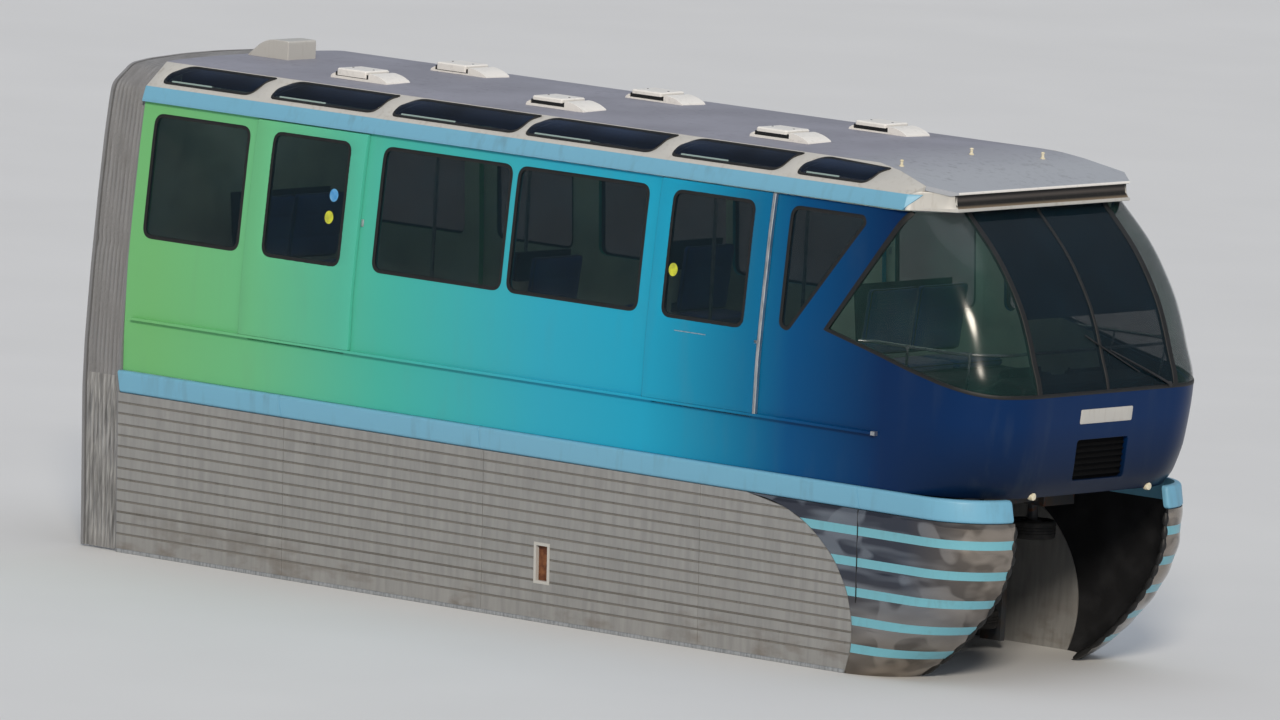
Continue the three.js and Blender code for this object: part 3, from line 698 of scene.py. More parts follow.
FILM_LENGTH = 9.6
FILM_STOPS = (0.3, 1.4, 2.9, 4.7, 5.8, 7.4, 8.4)
FILM_LEAN = 0.03
FILM_LEVEL = 1.4


@finish("printed vinyl film", Roughness=0.32, IOR=1.22, Coat_Weight=0.04, Coat_Roughness=0.05)
def film(look):
    # Laminated vinyl on aluminium sheet: one clean colour blend, a soft gloss and slight ripple of the sheet
    place = look.add("SeparateXYZ", {0: look.where})
    above = look.add("Math", {0: place.outputs["Z"], 1: FILM_LEVEL}, operation="SUBTRACT")
    lean = look.add("Math", {0: above.outputs[0], 1: FILM_LEAN}, operation="MULTIPLY")
    along = look.add("Math", {0: place.outputs["X"], 1: lean.outputs[0]}, operation="ADD")
    share = look.add("Math", {0: along.outputs[0], 1: FILM_LENGTH}, operation="DIVIDE")
    stops = [(spot / FILM_LENGTH, getattr(colours(), f"film_{i}")) for i, spot in enumerate(FILM_STOPS)]
    blend = look.add("ValToRGB", {0: share.outputs[0]}, stops)
    # Painted shade darkens the foot of the nose
    low = look.rise_along("Z", 0.9, 0.36, 0.75)
    ahead = look.rise_along("X", 8.3, 9.3)
    painted_low_shade = look.add("Math", {0: low, 1: ahead}, operation="MULTIPLY")
    toned = look.add("Mix", {0: painted_low_shade.outputs[0], 6: blend.outputs[0], 7: "#0C1522"}, data_type="RGBA")
    look.coat(toned.outputs[2], "#6F7A74", 0.1, 1.4)
    look.relief(0.0016, 0.45, 0.2, 0.8, 1)


@finish("light blue enamel", Roughness=0.42, IOR=1.4, Coat_Weight=0.05, Coat_Roughness=0.25)
def band_enamel(look):
    # Sprayed enamel on formed sheet: clean at a distance, with grime in soft patches
    look.coat(colours().band, "#5C6E74", 0.45, 0.7)
    look.relief(0.0005, 0.12, 0.2, 0.8, 1)


@finish("stripe enamel", Roughness=0.3, IOR=1.5)
def stripe_enamel(look):
    # Painted flat between the polished bands, so it stays even
    look.coat(colours().stripe, "#5E7478", 0.4, 0.5)


@finish("satin roof paint", Roughness=0.55, IOR=1.42)
def roof_paint(look):
    # Satin paint dulled by the weather: pale chalky patches, dark run marks, and a paler, bluer grey towards
    # the canopy in front
    chalk = look.patches(0.9, 0.4, 0.7)
    grey = colours().roof
    pale = look.add("Mix", {0: chalk, 6: grey, 7: shaded(grey, 1.22)}, data_type="RGBA")
    front = look.rise_along("X", 7.4, 8.4)
    paler_front = look.add("Mix", {0: front, 6: pale.outputs[2], 7: "#A5AAB2"}, data_type="RGBA")
    look.coat(paler_front.outputs[2], "#55565E", 0.45, 0.5, 1)
    look.relief(0.0015, 0.3, 0.2, 0.8, 2)


@finish("cream gelcoat", Roughness=0.34, IOR=1.5)
def cream_gelcoat(look):
    # Moulded glass-fibre with a gelcoat skin: warm, smooth, with grime in patches and runs
    look.coat(colours().cream, "#8C8172", 0.5, 0.35)
    look.relief(0.0005, 0.1, 0.2, 0.8, 1)


@finish("moulded box gelcoat", Roughness=0.4, IOR=1.45)
def box_gelcoat(look):
    # White gelcoat gone chalky, with grey dust in patches
    look.coat("#EEECE8", "#B4B0AB", 0.45, 0.3, 1)


@finish("weathered aluminium cladding", Roughness=0.5, Metallic=0.35)
def skirt_cladding(look):
    # Rolled aluminium planks under old clear lacquer: dull warm grey, rain streaks and brown scuffs low down
    grey = colours().skirt
    streaks = look.patches(0.05, 0.35, 0.7, 3, (1, 1, 0.12))
    toned = look.add("Mix", {0: streaks, 6: shaded(grey, 0.9), 7: shaded(grey, 1.12)}, data_type="RGBA")
    low = look.rise_along("Z", -0.75, -1.3, 0.5)
    scuffs = look.patches(0.14, 0.5, 0.68, 5, (0.5, 1, 1))
    share = look.add("Math", {0: low, 1: scuffs}, operation="MULTIPLY").outputs[0]
    browned = look.add("Mix", {0: share, 6: toned.outputs[2], 7: "#6E6152"}, data_type="RGBA")
    look.give("Base Color", browned.outputs[2])
    rough = look.add("MapRange", {"Value": streaks, "To Min": 0.42, "To Max": 0.62})
    look.give("Roughness", rough.outputs[0])
    # Brush lines, drawn ten times wider than the real 0.2 mm so that they show
    look.relief(0.0002, 0.002, 0.3, 0.7, 1, (0.02, 1, 1))


@finish("groove shadow paint", Roughness=0.7)
def groove_painted_shade(look):
    # The same planks darkened as painted shade, so the grooves read as dark lines
    look.coat("#7E7C78", "#57544F", 0.8, 0.2)


@finish("polished stainless sheet", Metallic=0.85, Roughness=0.12)
def polished_sheet(look):
    # Rolled mirror sheet with its reflections painted into its colour: dark slate above, a painted tan
    # reflection of the ground low down and towards the nose, and painted bright patches and streaks; its
    # bulge bends the real reflections
    dark = colours().polished
    low = look.rise_along("Z", -0.45, -1.15)
    ahead = look.rise_along("X", 8.75, 9.35)
    painted_ground_reflection = look.add("Math", {0: low, 1: ahead}, operation="MAXIMUM").outputs[0]
    # Painted reflections: bright patches, and streaks between the slate and the bright tone
    painted_reflection_patches = look.patches(0.42, 0.525, 0.555, 1, (1, 1, 1.3))
    streak = look.patches(0.16, 0.42, 0.8, 1, (0.3, 1, 1.6))
    ground = look.add("Mix", {0: painted_ground_reflection, 6: dark, 7: "#716A63"}, data_type="RGBA")
    painted_bright_reflection = look.add("Mix", {0: painted_ground_reflection, 6: "#8B929C", 7: "#A59C92"}, data_type="RGBA").outputs[2]
    painted_reflections = look.add("Mix", {0: streak, 6: ground.outputs[2], 7: painted_bright_reflection}, data_type="RGBA")
    painted_highlight_share = look.add("Math", {0: painted_reflection_patches, 1: 0.65}, operation="MULTIPLY")
    toned = look.add("Mix", {0: painted_highlight_share.outputs[0], 6: painted_reflections.outputs[2], 7: painted_bright_reflection}, data_type="RGBA")
    look.give("Base Color", toned.outputs[2])
    rough = look.add("MapRange", {"Value": painted_reflection_patches, "To Min": 0.08, "To Max": 0.16})
    look.give("Roughness", rough.outputs[0])
    look.relief(0.006, 0.3, 0.2, 0.8, 1)


@finish("coated bellows fabric", Roughness=0.62, Sheen_Weight=0.2)
def bellows_fabric(look):
    # Polyester cloth coated with rubber: dull mid grey, a little paler where the folds have worn
    base = colours().bellows
    worn = look.patches(0.16, 0.3, 0.75, 2, (3, 1, 0.12))
    toned = look.add("Mix", {0: worn, 6: shaded(base, 0.86), 7: shaded(base, 1.12)}, data_type="RGBA")
    look.coat(toned.outputs[2], "#62605E", 0.4, 0.5)
    look.relief(0.0015, 0.03, 0.3, 0.7, 2)


@finish("aluminised bellows fabric", Roughness=0.45, Metallic=0.35)
def bellows_foot(look):
    # Aluminised cloth below the floor: silvery and creased, its pale and dark vertical strokes partly painted
    # glints and shade of the creases, which the bump also raises
    creases_and_painted_glints = look.mottled("#757678", "#A9AAAB", 0.06, 0.35, 0.68, 4, (2.4, 2.4, 0.22))
    look.bumped(creases_and_painted_glints, 0.003)


@finish("tinted safety glass", Roughness=0.07, IOR=1.36, Alpha=0.6)
def tinted_glass(look):
    # Laminated pane with a green tint: clear enough to show the inside, with a thin film of dust
    base = colours().glass
    look.mottled(base, shaded(base, 1.5), 0.5, 0.45, 0.75)


@finish("green windscreen glass", Roughness=0.14, IOR=1.45, Alpha=0.42)
def corner_glass(look):
    # Bent side pane: the same laminate seen on edge more often, so its green shows more
    look.mottled("#152F2E", "#21433F", 0.5, 0.45, 0.75)


@finish("smoked sun film", Roughness=0.25, IOR=1.4, Alpha=0.8)
def sun_film(look):
    # Navy sheet behind the upper part of the front pane, which darkens it there, in soft patches
    look.mottled("#1B3A63", "#244A78", 0.4, 0.3, 0.7, 1)


@finish("smoked roof glazing", Roughness=0.08, IOR=1.33, Coat_Weight=0.1, Alpha=0.62)
def roof_glazing(look):
    # Smoked acrylic: navy low down, and higher up a paler blue-grey that is a painted reflection of the sky
    # where it leans back
    high = look.rise_along("Z", 2.8, 2.89)
    painted_sky_reflection = look.add("Mix", {0: high, 6: "#0F1C30", 7: "#30415E"}, data_type="RGBA")
    tone = look.mottled("#0B1523", painted_sky_reflection.outputs[2], 0.6, 0.3, 0.7, 1)
    look.bumped(tone, 0.003)


@finish("black weather rubber", Roughness=0.55)
def rubber_seal(look):
    # Extruded rubber, greyed a little by the sun
    look.mottled("#08090A", "#151618", 0.05, 0.3, 0.7)
    look.relief(0.0003, 0.004, 0.3, 0.7, 1)


@finish("woven seat cloth", Roughness=0.85, Sheen_Weight=0.5, Sheen_Roughness=0.4)
def seat_cloth(look):
    # Navy woven wool with a fine cross rib; the 2 mm rib is drawn 6 mm wide so that it shows
    rib = 0.006
    base = colours().seat
    waves = {"Vector": look.where, "Scale": 0.5 / rib, "Distortion": 0.4}
    lines, cross = (look.add("TexWave", waves, bands_direction=way).outputs["Fac"]
                    for way in ("Y", "DIAGONAL"))
    weave = look.add("Math", {0: lines, 1: cross}, operation="MULTIPLY")
    worn = look.patches(0.2, 0.45, 0.7)
    toned = look.add("Mix", {0: worn, 6: base, 7: shaded(base, 1.5)}, data_type="RGBA")
    tones = {0: weave.outputs[0], 6: shaded(base, 0.7), 7: toned.outputs[2]}
    flecked = look.add("Mix", tones, data_type="RGBA")
    look.give("Base Color", flecked.outputs[2])
    look.bumped(weave.outputs[0], 0.0008)


@finish("moulded lining panel", Roughness=0.5)
def lining(look):
    # Thermoformed plastic with a fine leather grain and hand marks
    base = colours().lining
    look.mottled(base, shaded(base, 0.78), 0.25, 0.4, 0.7)
    look.relief(0.0003, 0.004, 0.3, 0.7, 2)


@finish("ceiling laminate", Roughness=0.45)
def ceiling(look):
    # White laminate, yellowed in places
    look.mottled("#C9CAC4", "#B3B0A4", 0.6)


@finish("frosted light panel", Roughness=0.5, Emission_Color="#E5FFF1", Emission_Strength=2.2)
def light_panel(look):
    # Frosted diffuser over a lit tube, a little brighter in soft patches
    look.mottled("#DDE3DF", "#F0F3F1", 0.4, 0.3, 0.7, 1)


@finish("recess trim paint", Roughness=0.7)
def recess_trim(look):
    # Groove with painted shadow: tan at its foot, the middle nearly black as painted shade, a grey trim
    # above, and near black again at its top
    high = look.rise_along("Z", 2.605, 2.705)
    tones = [(0, "#7C6E5C"), (0.22, "#131212"), (0.45, "#171615"), (0.66, "#4E4947"), (1, "#1D1B1B")]
    levels = look.add("ValToRGB", {0: high}, tones)
    look.coat(levels.outputs[0], "#4A453F", 0.3, 0.3)


@finish("black louvre paint", Roughness=0.9, IOR=1.2)
def louvre_paint(look):
    # Dead matt black, so that the slats are barely told from the recess behind them
    look.coat("#0B0C0E", "#1B1C1E", 0.5, 0.2)


@finish("studded floor rubber", Roughness=0.7)
def floor_rubber(look):
    # Dark grey sheet with 25 mm studs, scuffed paler along the aisle
    studs = look.add("TexVoronoi", {"Vector": look.where, "Scale": 1 / 0.025, "Randomness": 0},
                     voronoi_dimensions="2D")
    round_top = look.add("MapRange", {
        "Value": studs.outputs["Distance"], "From Min": 0.42, "From Max": 0.3}).outputs[0]
    look.mottled("#34373A", "#56585A", 0.4, 0.4, 0.7)
    look.bumped(round_top, 0.001)


@finish("matt black powder coat", Roughness=0.55)
def powder_coat(look):
    # Powder coating: fine orange-peel and dust in patches
    look.mottled("#17181B", "#2C2D30", 0.3, 0.45, 0.75)
    look.relief(0.0004, 0.006, 0.3, 0.7, 1)


@finish("brushed stainless tube", Metallic=1, Roughness=0.25)
def brushed_steel(look):
    # Satin-brushed tube: bright, with a soft stretched highlight and hand wear
    brush = look.mottled("#A9ACAF", "#CDCFD1", 0.003, 0.3, 0.7, 1, (1, 1, 0.05))
    rough = look.add("MapRange", {"Value": brush, "To Min": 0.18, "To Max": 0.34})
    look.give("Roughness", rough.outputs[0])


@finish("anodised aluminium trim", Metallic=0.9, Roughness=0.35)
def anodised(look):
    # Extruded and anodised: pale silver, lightly scratched along its length
    look.mottled("#C9CCCF", "#9EA2A6", 0.02, 0.4, 0.7, 3, (1, 1, 0.2))


@finish("grey equipment paint", Roughness=0.5)
def equipment_paint(look):
    # Two-pack paint on folded covers, with road dust lying in broad patches
    look.coat("#4C5156", "#7A7368", 0.7, 0.5)


@finish("bogie paint", Roughness=0.6, Metallic=0.1)
def bogie_paint(look):
    # Thick grey machine paint over welded plate, with brake dust and rust at the edges
    dust = look.patches(0.22, 0.4, 0.68)
    rust = look.patches(0.07, 0.6, 0.7, 6)
    grey = look.add("Mix", {0: dust, 6: "#3E4349", 7: "#4A413A"}, data_type="RGBA")
    toned = look.add("Mix", {0: rust, 6: grey.outputs[2], 7: "#5E3A26"}, data_type="RGBA")
    look.give("Base Color", toned.outputs[2])
    look.relief(0.0006, 0.012, 0.3, 0.7)


@finish("worn tyre rubber", Roughness=0.8)
def tyre_rubber(look):
    # Running rubber: dull black, polished grey dust where it meets the beam
    look.mottled("#151516", "#2E2C2A", 0.08, 0.4, 0.7)
    look.relief(0.0008, 0.006, 0.3, 0.7)


@finish("machined steel", Metallic=1, Roughness=0.38)
def machined(look):
    # Turned and bolted steel with oil film and light rust
    look.mottled("#8C8E90", "#4B423C", 0.06, 0.45, 0.65)


@finish("rusty steel plate", Roughness=0.8, Metallic=0.2)
def rusty_plate(look):
    # Bare plate behind the skirt's slot, with orange-brown rust
    rust = look.mottled("#5E3522", "#8A5A3A", 0.05, 0.35, 0.65, 6)
    look.bumped(rust, 0.001)


@finish("frosted lamp lens", Roughness=0.2, IOR=1.49, Coat_Weight=0.5)
def lamp_lens(look):
    # Moulded acrylic lens, milky and slightly yellow
    look.mottled("#EFE8D2", "#D9CFAE", 0.02)


@finish("blue plastic disc", Roughness=0.35)
def blue_disc(look):
    # Printed vinyl dot, sun-faded
    look.mottled("#3E8FD0", "#6FB1DF", 0.05)


@finish("yellow plastic disc", Roughness=0.35)
def yellow_disc(look):
    # Printed vinyl dot, sun-faded
    look.mottled("#D8DC3A", "#AEB23C", 0.05)


# Sections used by more than one piece

SIDE_STEP = (0.14, 0.045)
NOSE_STEP = (0.045, 0.045)
PANE_STEP = (0.2, 0.09)
EDGE = 0.005


def gasket_section(proud, deep):
    """Rubber lip that covers the joint between a panel and a pane."""
    wide = bpy.context.scene.car_sizes.gasket
    out = -0.3 * wide
    into = 0.7 * wide
    return [(out, deep), (out, -proud * 0.4), (out * 0.5, -proud), (into * 0.6, -proud),
            (into, -proud * 0.2), (into, deep)]


def flat_section(a0, a1, d0, d1, ease=0.0015):
    """Flat strip with eased outer edges: from offset a0 to a1 and from depth d0 to d1."""
    return [(a0, d1), (a0, d0 + ease), (a0 + ease, d0), (a1 - ease, d0), (a1, d0 + ease), (a1, d1)]


def screen_sill(x0, x1, parts):
    """Points of the windscreen's lower edge, from x0 to x1 along the car."""
    return [(x, sill_height(x)) for x in spread(x0, x1, parts)]


def doorway(end):
    x0, x1 = DOORS[end]
    return rounded(rectangle(x0 + DOORWAY_LAP, x1 - DOORWAY_LAP, FLOOR, LINTEL + 0.02), 0.03)


def unrolled(points, side, levels=BODY):
    """Outline given along the car, turned to distances round the nose."""
    return [(side * girth(x, z, levels), z) for x, z in points]


DOOR_CATCHES = ((5.956, 1.82), (2.6, 1.82))


class SideWalls(bpy.types.Operator):
    """Panelled side walls with their window and door openings, painted outside and lined inside"""
    bl_idname = "car.side_walls"
    bl_label = "Side walls"

    def execute(self, context):
        seam = COWL_SEAM + EDGE
        for name, side in SIDES:
            wall = Piece()
            outline = [(0, BAND_HEAD), (seam, BAND_HEAD)]
            outline += screen_sill(seam, SCREEN_REAR[0][0] + 0.03, 8)
            outline += [SCREEN_REAR[0], SCREEN_REAR[1], (0, PANEL_HEAD)]
            holes = [window(*REAR_WINDOW), *[window(*span) for span in MIDDLE_WINDOWS],
                     rounded(WEDGE, context.scene.car_sizes.window_radius),
                     doorway("rear"), doorway("front")]
            wall.sheet(outline, holes, on_side(side), WALL, SIDE_STEP, EDGE, (0, 1, 0))
            wall.make(f"side_wall_panel_{name}", ["film", "lining"],
                      replaces=[f"side_wall_{name}"], sharp=20)
            self.track(name, side)
        return {"FINISHED"}

    def track(self, name, side):
        """Track below the doors with its end stop, and the catches beside the doorways."""
        place = on_side(side)
        track = Piece()
        z = TRACK_HEAD - 0.011
        end = COWL_SEAM + 0.06
        track.strip((0.1, z), (end, z), 0.25, place, flat_section(-0.011, 0.011, -0.0385, 0.01))
        track.strip((end - 0.022, z), (end + 0.022, z), 0.01, place,
                    flat_section(-0.017, 0.017, -0.0395, 0.004), ink=1)
        track.make(f"door_track_{name}", ["film", "anodised"])
        catch = Piece()
        for x, z in DOOR_CATCHES:
            catch.strip((x, z - 0.03), (x, z + 0.03), 0.02, place,
                        flat_section(-0.014, 0.014, -0.01, 0.002, 0.004))
        catch.make(f"door_catches_{name}", "anodised")


class SideWindows(bpy.types.Operator):
    """Side panes with their black gaskets"""
    bl_idname = "car.side_windows"
    bl_label = "Side windows"

    def execute(self, context):
        wedge = rounded(WEDGE, context.scene.car_sizes.window_radius)
        for name, side in SIDES:
            groups = {"rear_window": [window(*REAR_WINDOW)],
                      "middle_window": [window(*span) for span in MIDDLE_WINDOWS],
                      "wedge_window": [wedge]}
            for node, outlines in groups.items():
                pane = Piece()
                gaskets = Piece()
                for outline in outlines:
                    pane.glaze(outline, on_side(side, GLASS_IN), GLASS, PANE_STEP)
                    gaskets.lip(outline, on_side(side), 0.004, 0.024)
                pane.make(f"{node}_pane_{name}", "tinted_glass", replaces=[f"{node}_{name}"])
                gaskets.make(f"{node}_gasket_{name}", "rubber_seal")
        return {"FINISHED"}


DOOR_TRIM = {"rear": 0, "front": 0.034}
LATCH_LEVEL = 1.33
PULL = ((6.16, 1.325), (6.5, 1.325))
DISC_RADIUS = 0.048
DISCS = {"rear_right": (("blue_disc", 2.28, 2.02), ("yellow_disc", 2.25, 1.83)),
         "front_right": (("yellow_disc", 6.08, 1.82),)}


class Doors(bpy.types.Operator):
    """Sliding door leaves with their panes, gaskets, edge seals, trims and catches"""
    bl_idname = "car.doors"
    bl_label = "Doors"

    def execute(self, context):
        foot = TRACK_HEAD + 0.0005
        head = PANEL_HEAD - 0.012
        for end in ENDS:
            x0, x1 = DOORS[end]
            trim = DOOR_TRIM[end]
            for name, side in SIDES:
                body = f"door_{end}_{name}"
                opening = window(*DOOR_WINDOWS[end])
                place = on_side(side, -DOOR_OUT)
                leaf = Piece()
                outline = rounded(rectangle(x0 + 0.007, x1 - trim - 0.001, foot, head), 0.012, 3)
                leaf.sheet(outline, [opening], place, DOOR_OUT - DOOR_BACK, SIDE_STEP, 0.007, (0, 1, 0))
                leaf.make(f"{body}_leaf", ["film", "lining"], body, [body])
                pane = Piece()
                pane.glaze(opening, on_side(side, GLASS_IN - DOOR_OUT), GLASS, PANE_STEP)
                pane.make(f"{body}_pane", "tinted_glass", body, [f"door_glass_{end}_{name}"])
                seals = Piece()
                seals.lip(opening, place, 0, 0.03)
                seals.strip((x0 + 0.0045, foot), (x0 + 0.0045, head), 0.05, place,
                            flat_section(-0.004, 0.004, 0.01, 0.032))
                seals.make(f"{body}_seals", "rubber_seal", body)
                if end == "front":
                    self.trim(body, x1, foot, head, place)
                for ink, x, z in DISCS.get(f"{end}_{name}", ()):
                    self.disc(f"{body}_{ink}", ink, body, x, z, on_side(side, GLASS_IN - DOOR_OUT))
        return {"FINISHED"}

    def trim(self, body, x1, foot, head, place):
        """Anodised closing edge with its latch, and the pull below the pane."""
        edge = Piece()
        x = x1 - DOOR_TRIM["front"] / 2
        half = DOOR_TRIM["front"] / 2 - 0.001
        edge.strip((x, foot), (x, head), 0.05, place, flat_section(-half, half, 0, 0.033, 0.004))
        edge.strip((x - 0.045, LATCH_LEVEL), (x - 0.018, LATCH_LEVEL), 0.01, place,
                   flat_section(-0.014, 0.014, 0, 0.006, 0.001))
        edge.strip(*PULL, 0.05, place, flat_section(-0.004, 0.004, -0.0005, 0.006, 0.001))
        edge.make(f"{body}_front_trim", "anodised", body)

    def disc(self, name, ink, body, x, z, place):
        """Round window mark on the outer face of the pane."""
        disc = Piece()
        outline = [(x + DISC_RADIUS * math.cos(a), z + DISC_RADIUS * 1.15 * math.sin(a))
                   for a in np.linspace(0, 2 * math.pi, 33)[:-1]]
        disc.sheet(outline, [], lambda u, v, below: place(u, v, below - 0.002), 0.0015, (0.02, 0.02), 0.0005)
        disc.make(name, ink, body)


SCREEN_TIP = 9.46
RECESS = (-0.33, 0.33, 0.4, 0.74)
LOUVRES = 6
LOUVRE_FOOT = 0.445
LOUVRE_PITCH = 0.05
PLATE = (-0.335, 0.335, 0.875, 0.995)


class Cowl(bpy.types.Operator):
    """Nose cowl with its lower recess and bare plate"""
    bl_idname = "car.cowl"
    bl_label = "Nose cowl"

    def execute(self, context):
        seam = COWL_SEAM - EDGE
        rise = dense([(seam, BAND_HEAD), (seam, sill_height(seam))], (1, 0.045), closed=False)
        sill = screen_sill(seam, SCREEN_TIP, 28)
        half = unrolled(rise, -1) + unrolled(sill, -1)[1:]
        outline = half + [(-s, z) for s, z in half[::-1]]
        recess = rounded(rectangle(*RECESS), 0.03)
        cowl = Piece()
        # Its inner faces are matt black: painted shade for the dark underside of the nose
        cowl.sheet(outline, [recess], on_nose(), WALL, NOSE_STEP, EDGE, (0, 1, 0))
        cowl.make("nose_cowl_panel", ["film", "powder_coat"],
                  replaces=["nose_cowl"], sharp=20)
        grille = Piece()
        grille.sheet(offset(wound(recess, 1), 0.001), [], on_nose(0.045), 0.012, (0.06, 0.06))
        for k in range(LOUVRES):
            z = LOUVRE_FOOT + k * LOUVRE_PITCH
            grille.strip((RECESS[0] + 0.015, z), (RECESS[1] - 0.015, z), 0.08, on_nose(),
                         [(-0.004, 0.044), (-0.012, 0.02), (-0.008, 0.018), (0.01, 0.044)])
        grille.make("cowl_grille", "louvre_paint")
        plate = Piece()
        plate.sheet(rounded(rectangle(*PLATE), 0.015), [], on_nose(-0.005), 0.005, (0.05, 0.04), 0.0015)
        plate.make("blank_plate", "cream_gelcoat")
        return {"FINISHED"}


BAR_HALF = {"wide": 0.03, "thin": 0.017}
WIPER_PIVOT = (0.8, 1.15)
WIPER_TIP = (0.1, 1.46)
WIPER_BLADE = ((0.42, 1.27), (-0.18, 1.59))
DARK_BAND_FOOT = 1.74


class Windscreen(bpy.types.Operator):
    """Curved front and side panes with their bars, edge rubber and wiper"""
    bl_idname = "car.windscreen"
    bl_label = "Windscreen"

    def execute(self, context):
        rear = dense([SCREEN_REAR[1], SCREEN_REAR[0]], (1, 0.05), closed=False)
        sill = screen_sill(SCREEN_REAR[0][0] + 0.03, SCREEN_TIP, 34)
        low = sill[-1][1]
        for name, side in SIDES:
            corner = side * SCREEN_CORNER
            outline = unrolled(rear + sill, side) + [(corner, low), (corner, PANEL_HEAD)]
            pane = Piece()
            pane.sheet(outline, [], on_nose(GLASS_IN), GLASS, NOSE_STEP)
            pane.make(f"windscreen_side_pane_{name}", "corner_glass",
                      replaces=[f"windscreen_side_{name}"])
        front = Piece()
        step = (0.1, 0.045)
        outline = rectangle(-SCREEN_CORNER, SCREEN_CORNER, low, PANEL_HEAD)
        front.sheet(outline, [], on_nose(GLASS_IN), GLASS, step)
        front.make("windscreen_front_pane", "tinted_glass", replaces=["windscreen_front"])
        shade = Piece()
        outline = rectangle(0.03 - SCREEN_CORNER, SCREEN_CORNER - 0.03, DARK_BAND_FOOT, PANEL_HEAD - 0.01)
        shade.sheet(outline, [], on_nose(GLASS_IN + GLASS + 0.002), 0.001, step)
        shade.make("windscreen_sun_film", "sun_film")
        right = unrolled(rear + sill, -1)
        loop = right + [(-s, z) for s, z in right[::-1]]
        rubber = Piece()
        rubber.bead(dense(loop, NOSE_STEP, closed=False), on_nose(), gasket_section(0.003, 0.024),
                    closed=False)
        for s, kind in ((-SCREEN_CORNER, "wide"), (0, "thin"), (SCREEN_CORNER, "wide")):
            half = BAR_HALF[kind]
            rubber.strip((s, low), (s, PANEL_HEAD), 0.04, on_nose(),
                         flat_section(-half, half, -0.002, 0.036, 0.004))
        rubber.make("windscreen_bars", "rubber_seal", replaces=["windscreen_frame"])
        self.wiper()
        return {"FINISHED"}

    def wiper(self):
        wiper = Piece()
        arm = [(s, z, -0.014 - 0.01 * math.sin(math.pi * k / 8))
               for k, (s, z) in enumerate(line(WIPER_PIVOT, WIPER_TIP, 8))]
        wiper.tube([around(*spot) for spot in arm], spread(0.011, 0.005, 8), 8)
        wiper.tube([around(s, z, -0.006) for s, z in line(*WIPER_BLADE, 8)], 0.007, 6)
        wiper.turned([(0, -0.03), (0.024, -0.03), (0.024, 0.01), (0.014, 0.018), (0, 0.018)],
                     around(*WIPER_PIVOT, -0.002), (1, 0, 0.1), 16)
        wiper.make("wiper", "powder_coat")


# Forms of the roof

CREASE_SLOPE = (SHOULDER_FOOT[0] - SHOULDER_HEAD[0]) / (SHOULDER_HEAD[1] - SHOULDER_FOOT[1])
PLAN_CORNER = (8.457, 1.385)
PLAN_TIP = (CANOPY_TIP, 1.11)
PLAN_SLOPE = (PLAN_TIP[1] - PLAN_CORNER[1]) / (PLAN_TIP[0] - PLAN_CORNER[0])
SLOPE_END = 7.944
FALL = (ROOF_CAP[2][1] - ROOF_CAP[1][1]) / (ROOF_CAP[2][0] - ROOF_CAP[1][0])
CREASE_END = ((PLAN_SLOPE * PLAN_CORNER[0]
               - (ROOF_CAP[1][1] - FALL * ROOF_CAP[1][0] - SHOULDER_FOOT[1]) * CREASE_SLOPE)
              / (FALL * CREASE_SLOPE + PLAN_SLOPE))
SOFT_RIDGE = 0.006


def roof_height(x, y):
    """Height of the roof's skin: its section, cut off softly by the fall over the windscreen."""
    a = smooth(ROOF, min(abs(y), ROOF[3][0]))[0]
    b = roof_cap(x)
    low = min(a, b)
    return low - SOFT_RIDGE * math.log(math.exp((low - a) / SOFT_RIDGE) + math.exp((low - b) / SOFT_RIDGE))


def canopy_edge(x):
    """Half width of the canopy in plan."""
    return PLAN_CORNER[1] + max(x - PLAN_CORNER[0], 0) * PLAN_SLOPE


def roof_edge(x):
    """Half width of the roof's skin: to the shoulder's crease, then to the canopy's edge in plan."""
    if x < SLOPE_END:
        return SHOULDER_HEAD[0]
    crease = SHOULDER_FOOT[0] - (roof_cap(x) - SHOULDER_FOOT[1]) * CREASE_SLOPE
    return min(crease, canopy_edge(x))


def crease_way(x):
    """How far up the shoulder the fall over the windscreen cuts it."""
    return (roof_cap(x) - SHOULDER_FOOT[1]) / (SHOULDER_HEAD[1] - SHOULDER_FOOT[1]) * SHOULDER_RUN


LIP_FOOT = 2.574
LIP_HEAD = 2.602
GROOVE_HEAD = 2.712
VENT_Y = (0.49, 0.79)
VENT_FOOT = 2.89
VENT_SEAT = 2.946
VENT_TOP = 3.008
BOX_ENDS = (0.056, 0.528)
BOX_HALF = 0.18
BOX_TOP = 3.09
COVE_FOOT = 2.72
STUDS = ((7.9, 0.09), (8.15, 0.72), (8.09, -1.04))
END_WALL = ((1.34, 2.561), (1.345, 2.7), (1.125, 2.88), (0.9, 2.89), (0.45, 2.9), (0, 2.905))
LIGHTS = 6
LIGHT_SPAN = (0.3, 1.4)
LIGHT_PITCH = 1.25
RIM_REAR = 8.4
RIM_BACK = 0.075
CORNER_PROUD = 0.028
CORNER_SCOOP = 0.03


def mirrored(half):
    """Whole section of a half one that ends on the centre line."""
    return list(half) + [(-y, z) for y, z in half[-2::-1]]


